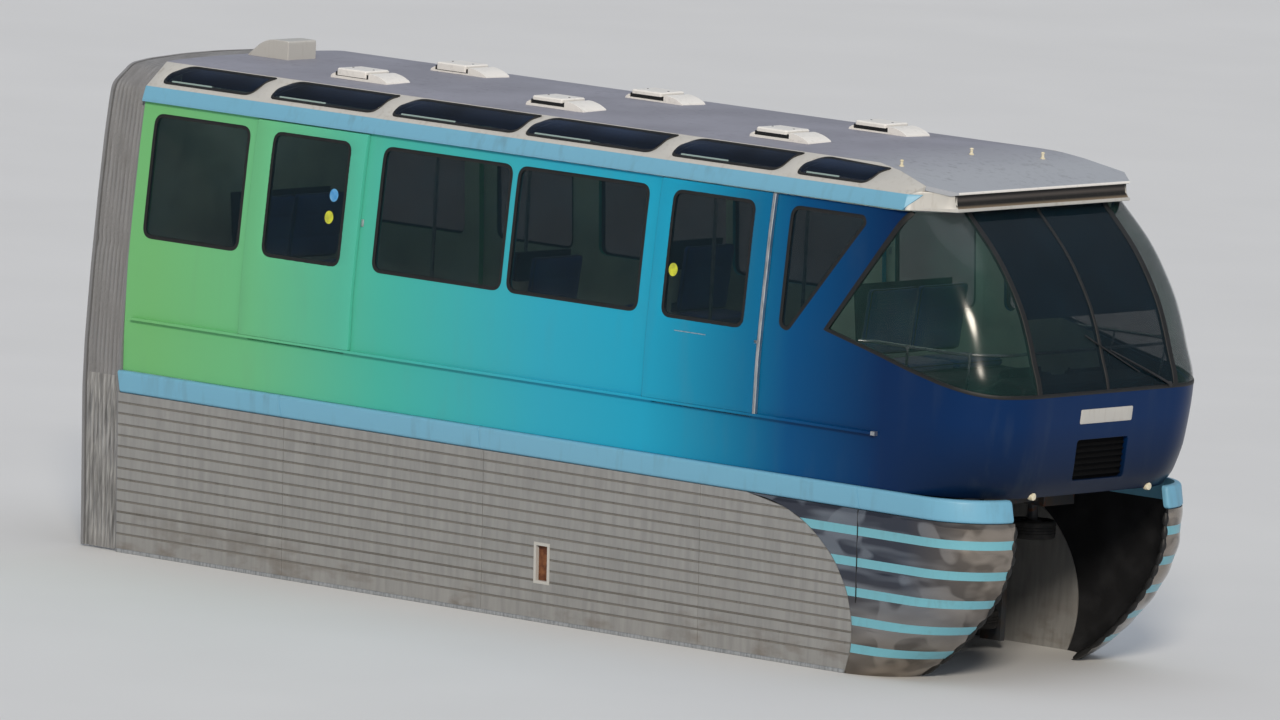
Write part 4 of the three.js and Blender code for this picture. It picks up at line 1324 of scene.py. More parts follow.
class Roof(bpy.types.Operator):
    """Roof skin with its vents, rear box, studs and the rim over the windscreen"""
    bl_idname = "car.roof"
    bl_label = "Roof"

    def execute(self, context):
        xs = spread(0, SLOPE_END, 40)[:-1] + spread(SLOPE_END, CANOPY_TIP, 16)
        skin = Piece()

        def place(x, share, below):
            y = roof_edge(x) * share
            thick = 0.4 if x > CANOPY_TIP - 0.01 else 1
            return (x, y, roof_height(x, y) - below * thick)

        skin.shell(xs, spread(-1, 1, 48), place, 0.04, inks=(0, 1, 0))
        skin.make("roof_skin", ["roof_paint", "ceiling"],
                  replaces=["roof", "canopy"], sharp=24)
        # Closes the roof's end over the bulkhead, inside the bellows
        wall = Piece()
        wall.prism(mirrored(END_WALL), along_x, 0.004, 0.04)
        wall.make("roof_end_wall", "lining")
        self.lining()
        self.rim()
        for name, side in SIDES:
            self.corner(name, side)
        for k, x0 in enumerate(VENTS):
            for name, side in SIDES:
                self.vent(f"roof_vent_{k}_{name}", x0, side, k > 0)
        self.box()
        self.studs()
        return {"FINISHED"}

    def lining(self):
        """Coves along the skylights' inner edges, near black as painted shade seen through the glazing, and
        lit panels between them.
        """
        coves = Piece()
        panels = Piece()
        for _, side in SIDES:
            cove = rounded([(0.975, COVE_FOOT), (1, COVE_FOOT), (1, 2.866), (0.975, 2.868)], 0.008, 3)
            coves.prism([(side * y, z) for y, z in cove], along_x, 0.06, SLOPE_END - 0.05)
            strip = rounded([(0.3, 2.866), (0.32, 2.846), (0.58, 2.844), (0.6, 2.864)], 0.008, 3)
            for k in range(LIGHTS):
                near, far = (x + LIGHT_PITCH * k for x in LIGHT_SPAN)
                panels.prism([(side * y, z) for y, z in strip], along_x, near, far)
        coves.make("ceiling_coves", "recess_trim")
        panels.make("ceiling_lights", "light_panel")

    def rim(self):
        """Light lip, groove with painted shadow, and a white edge over the windscreen whose colour paints the
        highlight along the skin's front edge.
        """
        right = [(RIM_REAR, -1.388), (PLAN_CORNER[0], -PLAN_CORNER[1]), (PLAN_TIP[0], -PLAN_TIP[1])]
        path = dense(right + [(x, -y) for x, y in right[::-1]], (0.1, 0.1), closed=False)
        lip = Piece()
        lip.bead(path, plain, [
            (RIM_BACK, LIP_FOOT), (RIM_BACK, LIP_HEAD), (-0.002, LIP_HEAD), (-0.01, LIP_HEAD - 0.006),
            (-0.01, LIP_FOOT + 0.004), (-0.004, LIP_FOOT)], closed=False)
        lip.make("canopy_lip", "cream_gelcoat")
        groove = Piece()
        groove.strip(right[-1], PLAN_TIP, 0.1, plain, [
            (0.004, LIP_HEAD - 0.002), (0.03, LIP_HEAD + 0.04), (0.036, GROOVE_HEAD),
            (RIM_BACK, GROOVE_HEAD), (RIM_BACK, LIP_HEAD - 0.002)])
        groove.make("canopy_groove", "recess_trim", sharp=10)
        # White bead along the skin's front edge: its white is a painted highlight of the lit edge
        edge = Piece()

        def on_roof(x, y, rise):
            return (x, y, roof_height(min(x, CANOPY_TIP), y) + rise)

        edge.strip(right[-1], PLAN_TIP, 0.1, on_roof,
                   [(0.006, -0.018), (-0.004, -0.016), (-0.006, -0.008), (-0.004, -0.001), (0.006, 0.002)])
        edge.make("canopy_edge", "box_gelcoat")

    def corner(self, name, side):
        """Cream block at a corner of the canopy, from the cantrail to the groove."""
        corner = Piece()
        rings = []
        reach = 1 / math.hypot(1, PLAN_SLOPE)
        for t in spread(0, 1, 14):
            x = PLAN_CORNER[0] - 0.02 + (PLAN_TIP[0] - PLAN_CORNER[0] + 0.02) * t
            y = canopy_edge(x)
            head = min(roof_height(x, y), SHOULDER_FOOT[1] + 0.02 + 0.02 * t) + 0.004
            # Flush with the cantrail where they meet, then drawn in, and scooped out towards the groove
            proud = CORNER_PROUD * (1 - min(max((x - CANTRAIL_END) / 0.16, 0), 1)) ** 2
            scoop = CORNER_SCOOP * max((t - 0.55) / 0.45, 0) ** 2
            section = [
                (RIM_BACK, LIP_FOOT), (-0.002 - proud, LIP_FOOT), (-0.006 - proud, LIP_FOOT + 0.006),
                (-0.004 - proud * 0.8, LIP_HEAD - 0.004),
                (-0.002 - proud * 0.7 + scoop * 0.65, LIP_HEAD + 0.02),
                (0.009 - proud * 0.1 + scoop * 0.9, head - 0.03), (0.009, head - 0.016),
                (0.012, head - 0.006), (0.028, head), (0.06, head + 0.002), (RIM_BACK, head - 0.02)]
            ahead, out = -PLAN_SLOPE * reach, reach
            if t == 1:
                # Mitred, so that it meets the straight groove along the front
                ahead, out = 1, 1 / reach + PLAN_SLOPE
            rings.append([(x - ahead * a, side * (y - out * a), z) for a, z in section])
        corner.rings(rings)
        corner.make(f"canopy_corner_{name}", "cream_gelcoat")

    def vent(self, name, x0, side, ajar):
        """Base with a rounded front, and a lid that stands open on the right where it is ajar."""
        near, far = sorted(side * y for y in VENT_Y)
        vent = Piece()
        base = [(0, VENT_FOOT), (0.64, VENT_FOOT), (0.64, 2.934, 0.02), (0.56, 2.972, 0.05),
                (0.47, 2.99, 0.03), (0.425, 2.99, 0.012), (0.425, 2.94), (0.045, 2.94),
                (0.045, 2.965, 0.012), (0, 2.942, 0.02)]
        vent.prism(rounded([(x0 + x, *rest) for x, *rest in base], 0.002, 4), along_y, near, far)
        foot = VENT_SEAT + 0.026 * ajar
        lid = rounded(rectangle(x0 + 0.07, x0 + 0.4, near - 0.004, far + 0.004), 0.02, 4)
        vent.rings([[(x, y, foot if y < (near + far) / 2 else VENT_SEAT) for x, y in lid],
                    [(x, y, VENT_TOP - 0.01) for x, y in lid],
                    [(x, y, VENT_TOP) for x, y in offset(wound(lid, 1), 0.012)]])
        vent.block((x0 + 0.05, near + 0.008, VENT_FOOT), (x0 + 0.42, far - 0.008, 2.976), 2)
        for x in (x0 + 0.12, x0 + 0.35):
            vent.bolt((x, (near + far) / 2, VENT_TOP - 0.001), (0, 0, 1), 0.01, 0.004, 0.006, 10, 1)
        vent.make(name, ["box_gelcoat", "machined", "rubber_seal"], bevel=0.005)

    def box(self):
        """Cover at the rear end: upright in front, rounded down towards the back."""
        box = Piece()
        rear, front = BOX_ENDS
        outline = rounded([(rear, 2.86, 0.01), (front, 2.86, 0.01), (front - 0.006, BOX_TOP, 0.024),
                           (rear + 0.2, BOX_TOP, 0.13), (rear, BOX_TOP - 0.16, 0.06)], 0.01, 8)
        box.prism(outline, along_y, -BOX_HALF, BOX_HALF)
        box.make("roof_box_cover", "cream_gelcoat", bevel=0.014, sharp=50, steps=3)

    def studs(self):
        studs = Piece()
        profile = [(0, -0.03), (0.022, -0.03), (0.022, 0.006), (0.013, 0.012), (0.013, 0.04),
                   (0.018, 0.045), (0.013, 0.055), (0, 0.058)]
        for x, y in STUDS:
            studs.turned(profile, (x, y, roof_height(x, y)), (0, 0, 1), 14)
        studs.make("roof_studs", "lamp_lens")


SKYLIGHT_FOOT = 0.058
SKYLIGHT_HEAD = SHOULDER_RUN - 0.022
SKYLIGHT_CROWN = 0.016
GLOW_STRIP_SPAN = (0.096, 0.108)


def skylight(x0, x1):
    """Outline of a skylight: a broad curve at its rear end, a sharp tip at its head in front."""
    foot, head = SKYLIGHT_FOOT, SKYLIGHT_HEAD
    tip = min(head, crease_way(x1) - 0.022)
    return rounded([(x0, foot, 0.05), (x1 - 0.125, foot, 0.09), (x1 - 0.075, tip - 0.055, 0.05),
                    (x1, tip, 0.006), (x0 + 0.15, head, 0.11), (x0, foot + 0.105, 0.07)], 0.05)


CANTRAIL = (
    (1.33, 2.5755), (1.426, 2.5755), (1.428, 2.585), (1.419, 2.615), (1.402, 2.665), (1.389, 2.701),
    (1.385, 2.705), (1.33, 2.705),
)
CANTRAIL_END = 8.44
CANTRAIL_LEAN = 0.11


class Shoulders(bpy.types.Operator):
    """Cantrails and the sloping roof edges with their row of skylights, and glowing strips in them that paint
    a streak of reflected light
    """
    bl_idname = "car.shoulders"
    bl_label = "Roof shoulders"

    def execute(self, context):
        outline = [(0, 0), (PLAN_CORNER[0], 0)]
        outline += [(x, crease_way(x)) for x in (CREASE_END, RIM_REAR, ROOF_CAP[1][0])]
        outline += [(SLOPE_END, SHOULDER_RUN), (0, SHOULDER_RUN)]
        holes = [skylight(*span) for span in SKYLIGHTS]
        middle = (SKYLIGHT_FOOT + SKYLIGHT_HEAD) / 2
        reach = middle - SKYLIGHT_FOOT
        for name, side in SIDES:
            surface = on_shoulder(side)
            shoulder = Piece()
            shoulder.sheet(outline, holes, surface, 0.04, (0.2, 0.06), 0.004, (0, 1, 0))
            shoulder.make(f"roof_shoulder_{name}", ["cream_gelcoat", "ceiling"])
            glazing = Piece()
            rims = Piece()
            glow_strips = Piece()

            def crowned(x, v, below):
                return surface(x, v, below - SKYLIGHT_CROWN * max(1 - ((v - middle) / reach) ** 2, 0))

            for hole in holes:
                glazing.glaze(hole, crowned, 0.008, (0.08, 0.02), 0.003)
                rims.lip(hole, surface, 0.008, 0.02)
            # Glowing strips low in each skylight: a painted reflection, the pale streak of light in the glass
            for x0, x1 in SKYLIGHTS:
                tube = rectangle(x0 + 0.07, x0 + 0.07 + 0.4 * (x1 - x0), *GLOW_STRIP_SPAN)
                glow_strips.sheet(tube, [], on_shoulder(side, 0.01), 0.008, (0.1, 0.02))
            glazing.make(f"skylights_{name}", "roof_glazing",
                         replaces=[f"skylight_glass_{name}"], sharp=60)
            rims.make(f"skylight_gaskets_{name}", "rubber_seal")
            glow_strips.make(f"skylight_tubes_{name}", "light_panel")
            self.cantrail(name, side)
        return {"FINISHED"}

    def cantrail(self, name, side):
        """Rounded strip over the windows, its front end cut on the slant and turned in with the canopy."""
        foot, head = CANTRAIL[0][1], CANTRAIL[-1][1]
        face = CANTRAIL[1:-1]
        halves, levels = zip(*face)
        cantrail = Piece()
        rings = []
        xs = spread(0, 8, 20) + [8.2, CANTRAIL_END]
        for x in xs + spread(PLAN_CORNER[0], CANTRAIL_END + CANTRAIL_LEAN * 0.97, 6):
            # Ahead of the slanted end's foot, the section keeps only what lies above the slant
            low = foot + (head - foot) * max(x - CANTRAIL_END, 0) / CANTRAIL_LEAN
            inward = max(x - PLAN_CORNER[0], 0) * PLAN_SLOPE
            ring = []
            for y, z in CANTRAIL:
                level = low + (z - foot) / (head - foot) * (head - low)
                out = float(np.interp(level, levels, halves)) if (y, z) in face else y
                ring.append((x, side * (out + inward), level))
            rings.append(ring)
        cantrail.rings(rings)
        cantrail.make(f"cantrail_strip_{name}", "band_enamel",
                      replaces=[f"cantrail_{name}"])


BAND_SEAMS = (1.85, 4.09, 8.24)
BAND_ROUND = 0.028
BAND_EDGE = 1.03
BAND_END_ROUND = 0.03
LAMP = (9.435, 0.753, 0.285)


class LowerBands(bpy.types.Operator):
    """Light blue bands round the foot of the body, with the marker lamps"""
    bl_idname = "car.lower_bands"
    bl_label = "Lower bands"

    def execute(self, context):
        level = (BAND_FOOT + BAND_HEAD) / 2
        rear = girth(0, level, BAND)
        corner = smooth(BAND, level)[2]
        turn = smooth(BAND, level)[0] - corner + corner * math.pi / 2
        places = [(s, 0) for s in spread(rear, turn, 30)[:-1] + spread(turn, BAND_EDGE, 22)]
        for x in BAND_SEAMS:
            s = girth(x, level, BAND)
            places += [(s + 0.0045, 0), (s + 0.0035, 0.004), (s - 0.0035, 0.004), (s - 0.0045, 0)]
        places.sort(reverse=True)
        for a in spread(0, math.pi / 2, 5)[1:]:
            places.append((BAND_EDGE - BAND_END_ROUND * math.sin(a), BAND_END_ROUND * (1 - math.cos(a))))
        for name, side in SIDES:
            band = Piece()
            band.rings([[around(side * s, z, deep, BAND) for z, deep in self.section(inset)]
                        for s, inset in places])
            band.make(f"lower_band_strip_{name}", "band_enamel",
                      replaces=[f"lower_band_{name}"])
            x, y, z = LAMP
            lamp = Piece()
            arm = [(-0.135, 0.047, 0.025), (-0.055, 0.017, 0), (-0.005, 0.002, -0.003)]
            lamp.tube([(x + dx, side * (y + dy), z + dz) for dx, dy, dz in arm], 0.012, 8)
            lamp.turned([(0, -0.03), (0.03, -0.028), (0.034, 0), (0.03, 0.018), (0, 0.028)],
                        (x, side * y, z), (1, 0, 0), 20, ink=1)
            lamp.make(f"marker_lamp_{name}", ["machined", "lamp_lens"])
        return {"FINISHED"}

    def section(self, inset):
        """Height and depth round the band, rounded at its outer edges."""
        low = BAND_FOOT + inset
        high = BAND_HEAD - 0.0004 - inset
        points = [(low, 0.055), (high, 0.055)]
        for centre, start in ((high - BAND_ROUND, 0), (low + BAND_ROUND, 90)):
            for k in range(7):
                angle = math.radians(start + 15 * k)
                deep = inset + BAND_ROUND * (1 - math.sin(angle))
                points.append((centre + BAND_ROUND * math.cos(angle), deep))
        return points


def arc_reach(z):
    """Front edge of the side skirt at a height."""
    rise = (z - SKIRT_ARC["z"]) / SKIRT_ARC["rz"]
    return SKIRT_ARC["x"] + SKIRT_ARC["rx"] * math.sqrt(max(1 - rise * rise, 0))


def skirt_out(z):
    """Half width of the side skirt at a height."""
    foot, head = SKIRT[0], SKIRT[-1]
    return foot[1] + (head[1] - foot[1]) * (z - foot[0]) / (head[0] - foot[0])


def on_skirt(side, depth=0):
    return lambda x, z, below: (x, side * (skirt_out(z) - below - depth), z)


class SideSkirts(bpy.types.Operator):
    """Grooved side skirts with their seams, foot lips and the framed slot"""
    bl_idname = "car.side_skirts"
    bl_label = "Side skirts"

    def execute(self, context):
        sizes = context.scene.car_sizes
        top = BAND_FOOT - 0.0005
        pitch = (top - SKIRT_FOOT - SKIRT_PLAIN) / sizes.grooves
        depths = {top: 0}
        for i in range(1, sizes.grooves + 1):
            for rise, share in SKIRT_GROOVE:
                depths[top - i * pitch + rise] = sizes.groove_depth * share
        depths.update({z: 0 for z in (*SKIRT_SLOT[2:], SKIRT_FOOT + 0.035, SKIRT_FOOT)})
        heights = sorted(depths)
        for name, side in SIDES:
            skirt = Piece()
            starts = [0, *SKIRT_SEAMS]
            for k, start in enumerate(starts):
                end = starts[k + 1] - 0.004 if k + 1 < len(starts) else None
                self.panel(skirt, side, start, end, heights, depths)
            self.mark_grooves(skirt)
            skirt.make(f"side_skirt_panels_{name}", ["skirt_cladding", "groove_painted_shade"],
                       replaces=[f"side_skirt_{name}"], sharp=30)
            self.fittings(name, side)
        return {"FINISHED"}

    def panel(self, skirt, side, start, end, heights, depths):
        slot_x0, slot_x1, slot_z0, slot_z1 = SKIRT_SLOT
        slotted = bool(end) and start < slot_x0 < end
        shares = spread(0, 1, 12)
        if slotted:
            places = [start, start + 0.2, slot_x0 - 0.2, slot_x0, slot_x1, slot_x1 + 0.2, end - 0.2, end]
            shares = [(x - start) / (end - start) for x in places]

        def place(share, z, below):
            far = end if end else arc_reach(z)
            x = start + (far - start) * share
            return (x, side * (skirt_out(z) - depths[z] * (below == 0) - below), z)

        def in_slot(i, j):
            middle_x = place((shares[i] + shares[i + 1]) / 2, heights[j], 0)[0]
            middle_z = (heights[j] + heights[j + 1]) / 2
            return slotted and slot_x0 < middle_x < slot_x1 and slot_z0 < middle_z < slot_z1

        skirt.shell(shares, heights, place, SKIRT_WALL, in_slot)

    def mark_grooves(self, skirt):
        """Painted shade in the grooves: the faces that lie below the skin, yet not on the inner side."""
        for index, face in enumerate(skirt.faces):
            sunk = max(skirt_out(skirt.points[i][2]) - abs(skirt.points[i][1]) for i in face)
            skirt.inks[index] = int(0.002 < sunk < 0.02)

    def fittings(self, name, side):
        level = SKIRT_FOOT + 0.016
        foot = Piece()
        foot.strip((0, level), (arc_reach(level), level), 0.5, on_skirt(side),
                   flat_section(-0.0155, 0.016, -0.006, 0.004, 0.004))
        foot.make(f"skirt_foot_lip_{name}", "anodised")
        x0, x1, z0, z1 = SKIRT_SLOT
        rim = Piece()
        rim.bead(rectangle(x0, x1, z0, z1), on_skirt(side), [
            (-0.022, 0.002), (-0.022, -0.004), (0.004, -0.004), (0.004, 0.034), (0, 0.034), (0, 0.002)])
        rim.make(f"skirt_slot_frame_{name}", "cream_gelcoat")
        plate = Piece()
        outline = rectangle(x0 - 0.03, x1 + 0.03, z0 - 0.03, z1 + 0.03)
        plate.sheet(outline, [], on_skirt(side, 0.036), 0.006, (0.1, 0.1))
        plate.make(f"skirt_slot_plate_{name}", "rusty_plate")


STRIPE = 0.074
BULGE = 0.007
SCALLOPS = 12


class NoseSkirts(bpy.types.Operator):
    """Polished nose skirts with light blue stripes and a scalloped guard on the inner edge"""
    bl_idname = "car.nose_skirts"
    bl_label = "Nose skirts"

    def execute(self, context):
        heights, depth, inks = self.rows()
        for name, side in SIDES:
            skirt = Piece()

            def place(share, z, below):
                far = girth(arc_reach(z) + 0.004, z, SKIRT)
                s = SKIRT_EDGE + (far - SKIRT_EDGE) * share
                return around(side * s, z, depth[z] * (below == 0) + below, SKIRT)

            skirt.shell(spread(0, 1, 36), heights, place, SKIRT_WALL, inks=(0, 2, 2))
            for index, face in enumerate(skirt.faces):
                z = sum(skirt.points[i][2] for i in face) / len(face)
                if skirt.inks[index] == 0:
                    skirt.inks[index] = inks[min(height for height in heights if height >= z - 1e-6)]
            skirt.make(f"nose_skirt_panel_{name}", ["polished_sheet", "stripe_enamel", "powder_coat"],
                       replaces=[f"nose_skirt_{name}"], sharp=30)
            self.guard(name, side)
        return {"FINISHED"}

    def rows(self):
        """Heights from the foot up, each with its depth and the finish of the strip below it."""
        edges = [BAND_FOOT - 0.0005]
        for middle in STRIPES:
            edges += [middle + STRIPE / 2, middle - STRIPE / 2]
        edges.append(SKIRT_FOOT)
        depth = {SKIRT_FOOT: BULGE}
        inks = {SKIRT_FOOT: 0}
        for k, (high, low) in enumerate(zip(edges, edges[1:])):
            polished = k % 2 == 0
            parts = 6 if polished else 2
            for i in range(parts):
                z = high + (low - high) * i / parts
                depth[z] = BULGE * (1 - math.sin(math.pi * i / parts)) if polished else BULGE
                inks[z] = 0 if polished else 1
        return sorted(depth), depth, inks

    def guard(self, name, side):
        """Scalloped rubber along the edge beside the beam, and the seam up the polished sheet."""
        guard = Piece()
        path = []
        for z in spread(BAND_FOOT - 0.03, SKIRT_FOOT + 0.02, SCALLOPS * 8):
            x, y, _ = around(side * SKIRT_EDGE, z, 0.02, SKIRT)
            path.append((x, y - side * 0.012, z))
        guard.tube(path, [0.015 + 0.015 * abs(math.sin(math.pi * k / 8)) for k in range(len(path))], 10)
        zs = spread(BAND_FOOT - 0.004, SKIRT_ARC["z"] + 0.25, 29)
        seam = [(side * girth(BAND_SEAMS[-1], z, SKIRT), z) for z in zs]
        section = flat_section(-0.0035, 0.0035, 0, 0.012, 0.001)
        guard.bead(seam, on_nose(0, SKIRT), section, closed=False)
        guard.make(f"nose_skirt_guard_{name}", "rubber_seal")


BELLOWS_HALF = (
    (1.45, -1.285), (1.53, 0.08), (1.53, 0.5), (1.5, 1.12), (1.455, 1.75), (1.41, 2.25),
    (1.37, 2.56), (1.345, 2.69), (1.12, 2.85), (0.9, 2.88), (0.45, 2.905), (0, 2.912),
)
BELLOWS_DEPTH = 0.43
BELLOWS_MARGIN = 0.028
FOLD = 0.032
TUCK = 0.014
TUCK_LEVELS = (1.36, BAND_HEAD)


class Bellows(bpy.types.Operator):
    """Pleated ring that closes the gap to the next car, with its end frames"""
    bl_idname = "car.bellows"
    bl_label = "Bellows"

    def execute(self, context):
        pleats = context.scene.car_sizes.pleats
        hoop = dense(self.eased(mirrored(BELLOWS_HALF)), (0.09, 0.09), closed=False)
        normals = lefts(hoop, closed=False)
        rear, front = BELLOWS_MARGIN - BELLOWS_DEPTH, -BELLOWS_MARGIN

        def place(x, k, below):
            (y, z), normal = hoop[k], normals[k]
            share = (x - rear) / (front - rear) * pleats
            fold = abs(share % 1 - 0.5) * 2
            wave = FOLD * fold ** 1.4 + 0.003 * math.sin(13 * share + 9 * z + 7 * y)
            tuck = TUCK * max(math.exp(-((z - level) / 0.02) ** 2) for level in TUCK_LEVELS)
            sink = 0.005 + wave + tuck + below
            return (x, y + normal.x * sink, z + normal.y * sink)

        cloth = Piece()
        cloth.shell(spread(rear, front, pleats * 6), range(len(hoop)), place, 0.005)
        for index, face in enumerate(cloth.faces):
            if max(cloth.points[i][2] for i in face) < BAND_HEAD + 0.01:
                cloth.inks[index] = 1
        cloth.make("bellows_pleats", ["bellows_fabric", "bellows_foot"],
                   replaces=["bellows"], sharp=60)
        ends = Piece()
        for x0, x1 in ((-BELLOWS_DEPTH, -BELLOWS_DEPTH + 0.03), (-0.03, -0.0005)):
            section = rectangle(x0, x1, 0.002, 0.06)
            ends.rings([[(x, y + n.x * deep, z + n.y * deep) for x, deep in section]
                        for (y, z), n in zip(hoop, normals)])
        ends.make("bellows_end_frames", "bellows_fabric")
        return {"FINISHED"}

    def eased(self, corners):
        """Open outline with its inner corners rounded."""
        points = [corners[0]]
        for around_corner in zip(corners, corners[1:], corners[2:]):
            points += rounded(around_corner, 0.06, 5)[6:12]
        return points + [corners[-1]]


# Seats

BENCH_WIDTH = 0.63
PAD = {"cell": 0.016, "swell": 0.014, "frames": 16, "pressure": 4}
SEAT_PAD = (0.455, BENCH_WIDTH, 0.064)
BACK_PAD = (0.575, BENCH_WIDTH, 0.074)
CHANNEL = {"depth": 0.006, "width": 0.011}
BACK_LEAN = math.atan(0.07 / 0.6)
END_SEATS = {"seat_rear": 0.52, "seat_front": 7.48}
END_SEAT_Y = (-0.32, 0.32)
END_SEAT_HALF = 0.636
END_LEVELS = (1.122, 1.212)
MIDDLE_SEAT_Y = 0.985
MIDDLE_SEAT_HALF = 0.34
MIDDLE_LEVELS = (1.08, 1.16)
MIDDLE_BACKS = ((4.16, -1), (4.26, 1))
FOOT_LEVEL = FLOOR + 0.0005


def pad_outline(length, width):
    return wound(rounded(rectangle(-length / 2, length / 2, -width / 2, width / 2), 0.045, 5), 1)


def pad_form(length, width, thick):
    """Soft block that a pad starts from, lying on the plane z = 0."""
    form = Piece()
    levels = ((0, 0.016), (0.012, 0.003), (thick * 0.5, 0), (thick - 0.012, 0.004), (thick, 0.018))
    form.rings([[(x, y, z) for x, y in offset(pad_outline(length, width), inset)] for z, inset in levels])
    mesh = bpy.data.meshes.new("pad_form")
    mesh.from_pydata(form.points, [], form.faces)
    return mesh


def shown_mesh(thing):
    """Mesh of an object as its modifiers leave it."""
    bpy.context.view_layer.update()
    graph = bpy.context.evaluated_depsgraph_get()
    return bpy.data.meshes.new_from_object(thing.evaluated_get(graph))


def corners(mesh):
    spots = np.empty(len(mesh.vertices) * 3, np.float32)
    mesh.vertices.foreach_get("co", spots)
    return spots.reshape(-1, 3)


def stuffed(length, width, thick):
    """Mesh of a pad whose cover a cloth simulation has blown up, with sewn channels across it."""
    scene = bpy.context.scene
    thing = placed("pad_form", pad_form(length, width, thick))
    even = thing.modifiers.new("even cells", "REMESH")
    even.mode = "VOXEL"
    even.voxel_size = PAD["cell"]
    mesh = shown_mesh(thing)
    thing.modifiers.remove(even)
    thing.data = mesh
    start = corners(mesh)
    moved = np.zeros_like(start)
    cover = thing.modifiers.new("cover", "CLOTH")
    cover.settings.use_pressure = True
    cover.settings.uniform_pressure_force = PAD["pressure"]
    cover.settings.effector_weights.gravity = 0
    for number in range(1, PAD["frames"] + 1):
        scene.frame_set(number)
    moved = corners(shown_mesh(thing)) - start
    thing.modifiers.remove(cover)
    scene.frame_set(1)
    reach = np.linalg.norm(moved, axis=1, keepdims=True)
    spots = start + moved * np.minimum(1, PAD["swell"] / np.maximum(reach, 1e-9))
    # It is flat only where it lies on its board
    spots[:, 2] = np.maximum(spots[:, 2], 0)
    for place in (-length / 6, length / 6):
        groove = np.exp(-((spots[:, 0] - place) / CHANNEL["width"]) ** 2)
        spots[:, 2] -= CHANNEL["depth"] * groove * (spots[:, 2] > thick / 2)
    mesh.vertices.foreach_set("co", spots.ravel())
    mesh.update()
    fine = thing.modifiers.new("finer", "SUBSURF")
    fine.levels = 1
    made = shown_mesh(thing)
    bpy.data.objects.remove(thing)
    made.materials.clear()
    return made


class Seats(bpy.types.Operator):
    """Upholstered benches with stuffed seat and back pads, piping, boards and plinths"""
    bl_idname = "car.seats"
    bl_label = "Seats"

    def execute(self, context):
        self.seat = stuffed(*SEAT_PAD)
        self.back = stuffed(*BACK_PAD)
        for node, x in END_SEATS.items():
            for k, y in enumerate(END_SEAT_Y):
                self.pads(f"{node}_{k}", x + 0.245, x - 0.048, y, END_LEVELS, 1)
            board = Piece()
            level = END_LEVELS[0]
            board.block((x - 0.1, -END_SEAT_HALF, level - 0.0065), (x + 0.476, END_SEAT_HALF, level))
            self.shell(board, x - 0.006, END_SEAT_HALF, 0, 1, 1.2)
            board.make(f"{node}_boards", "powder_coat", replaces=[node], bevel=0.003)
        half = MIDDLE_SEAT_HALF
        for name, side in SIDES:
            node = f"seat_middle_{name}"
            y = side * MIDDLE_SEAT_Y
            plinth = Piece()
            for k, (x, way) in enumerate(MIDDLE_BACKS):
                self.pads(f"{node}_{k}", x + way * 0.247, x + way * 0.055, y, MIDDLE_LEVELS, way)
                profile = [(0.005, FOOT_LEVEL), (0.37, FOOT_LEVEL), (0.41, 1.078), (0.005, 1.078)]
                profile = rounded([(x + way * out, z) for out, z in profile], 0.012, 3)
                plinth.prism(profile, along_y, y - half, y + half)
                self.shell(plinth, x + way * 0.094, half, y, way, 1.15)
            post = rectangle(4.155, 4.265, FOOT_LEVEL, 1.5)
            plinth.prism(post, along_y, y - half - 0.003, y + half + 0.003, 1)
            plinth.make(f"{node}_plinth", ["powder_coat", "lining"],
                        replaces=[node], bevel=0.004)
        return {"FINISHED"}

    def shell(self, piece, x, half, middle, way, z):
        """Thin moulded shell behind a back pad."""
        outline = [(0.08, 0), (0.15, 0.594), (0.162, 0.594), (0.092, 0)]
        outline = [(x - way * back, z + rise) for back, rise in outline]
        piece.prism(outline, along_y, middle - half, middle + half)

    def pads(self, name, seat_x, back_x, y, levels, way):
        """Seat pad and back pad of one place at their levels, with the piping sewn round each."""
        seat_z, back_z = levels
        turn = Matrix.Rotation(0 if way > 0 else math.pi, 4, "Z")
        lie = Matrix.Translation((seat_x, y, seat_z)) @ turn
        rise = Matrix.Rotation(math.pi / 2 + BACK_LEAN, 4, "Y")
        half = Matrix.Translation((-BACK_PAD[0] / 2, 0, 0))
        stand = Matrix.Translation((back_x - way * 0.046, y, back_z)) @ turn @ rise @ half
        piping = Piece()
        pads = (("seat", self.seat, SEAT_PAD, lie), ("back", self.back, BACK_PAD, stand))
        for label, source, size, place in pads:
            mesh = source.copy()
            mesh.transform(place)
            pad = finished(mesh, f"{name}_{label}_pad", "seat_cloth", sharp=60)
            rim = dense(offset(pad_outline(*size[:2]), -0.002), (0.03, 0.03))
            surface = BVHTree.FromPolygons([v.co for v in mesh.vertices], [p.vertices for p in mesh.polygons])
            path = []
            for u, v in rim:
                near, normal, _, _ = surface.find_nearest(place @ Vector((u, v, size[2] * 0.86)))
                path.append(near + normal * 0.001)
            piping.tube(path, 0.0045, 6, closed=True)
        piping.make(f"{name}_piping", "rubber_seal")


RAIL_HEIGHT = 1.45
RAIL_DEPTH = 0.15
POLES_X = (2.65, 5.75)
POLES_Y = (-0.6, 0.6)
POLE_HEAD = 2.765
TOP_RAIL = 2.615
RAIL_LEGS = (-2.2, -1.5, 1.5, 2.2)
BUTTONS = 6


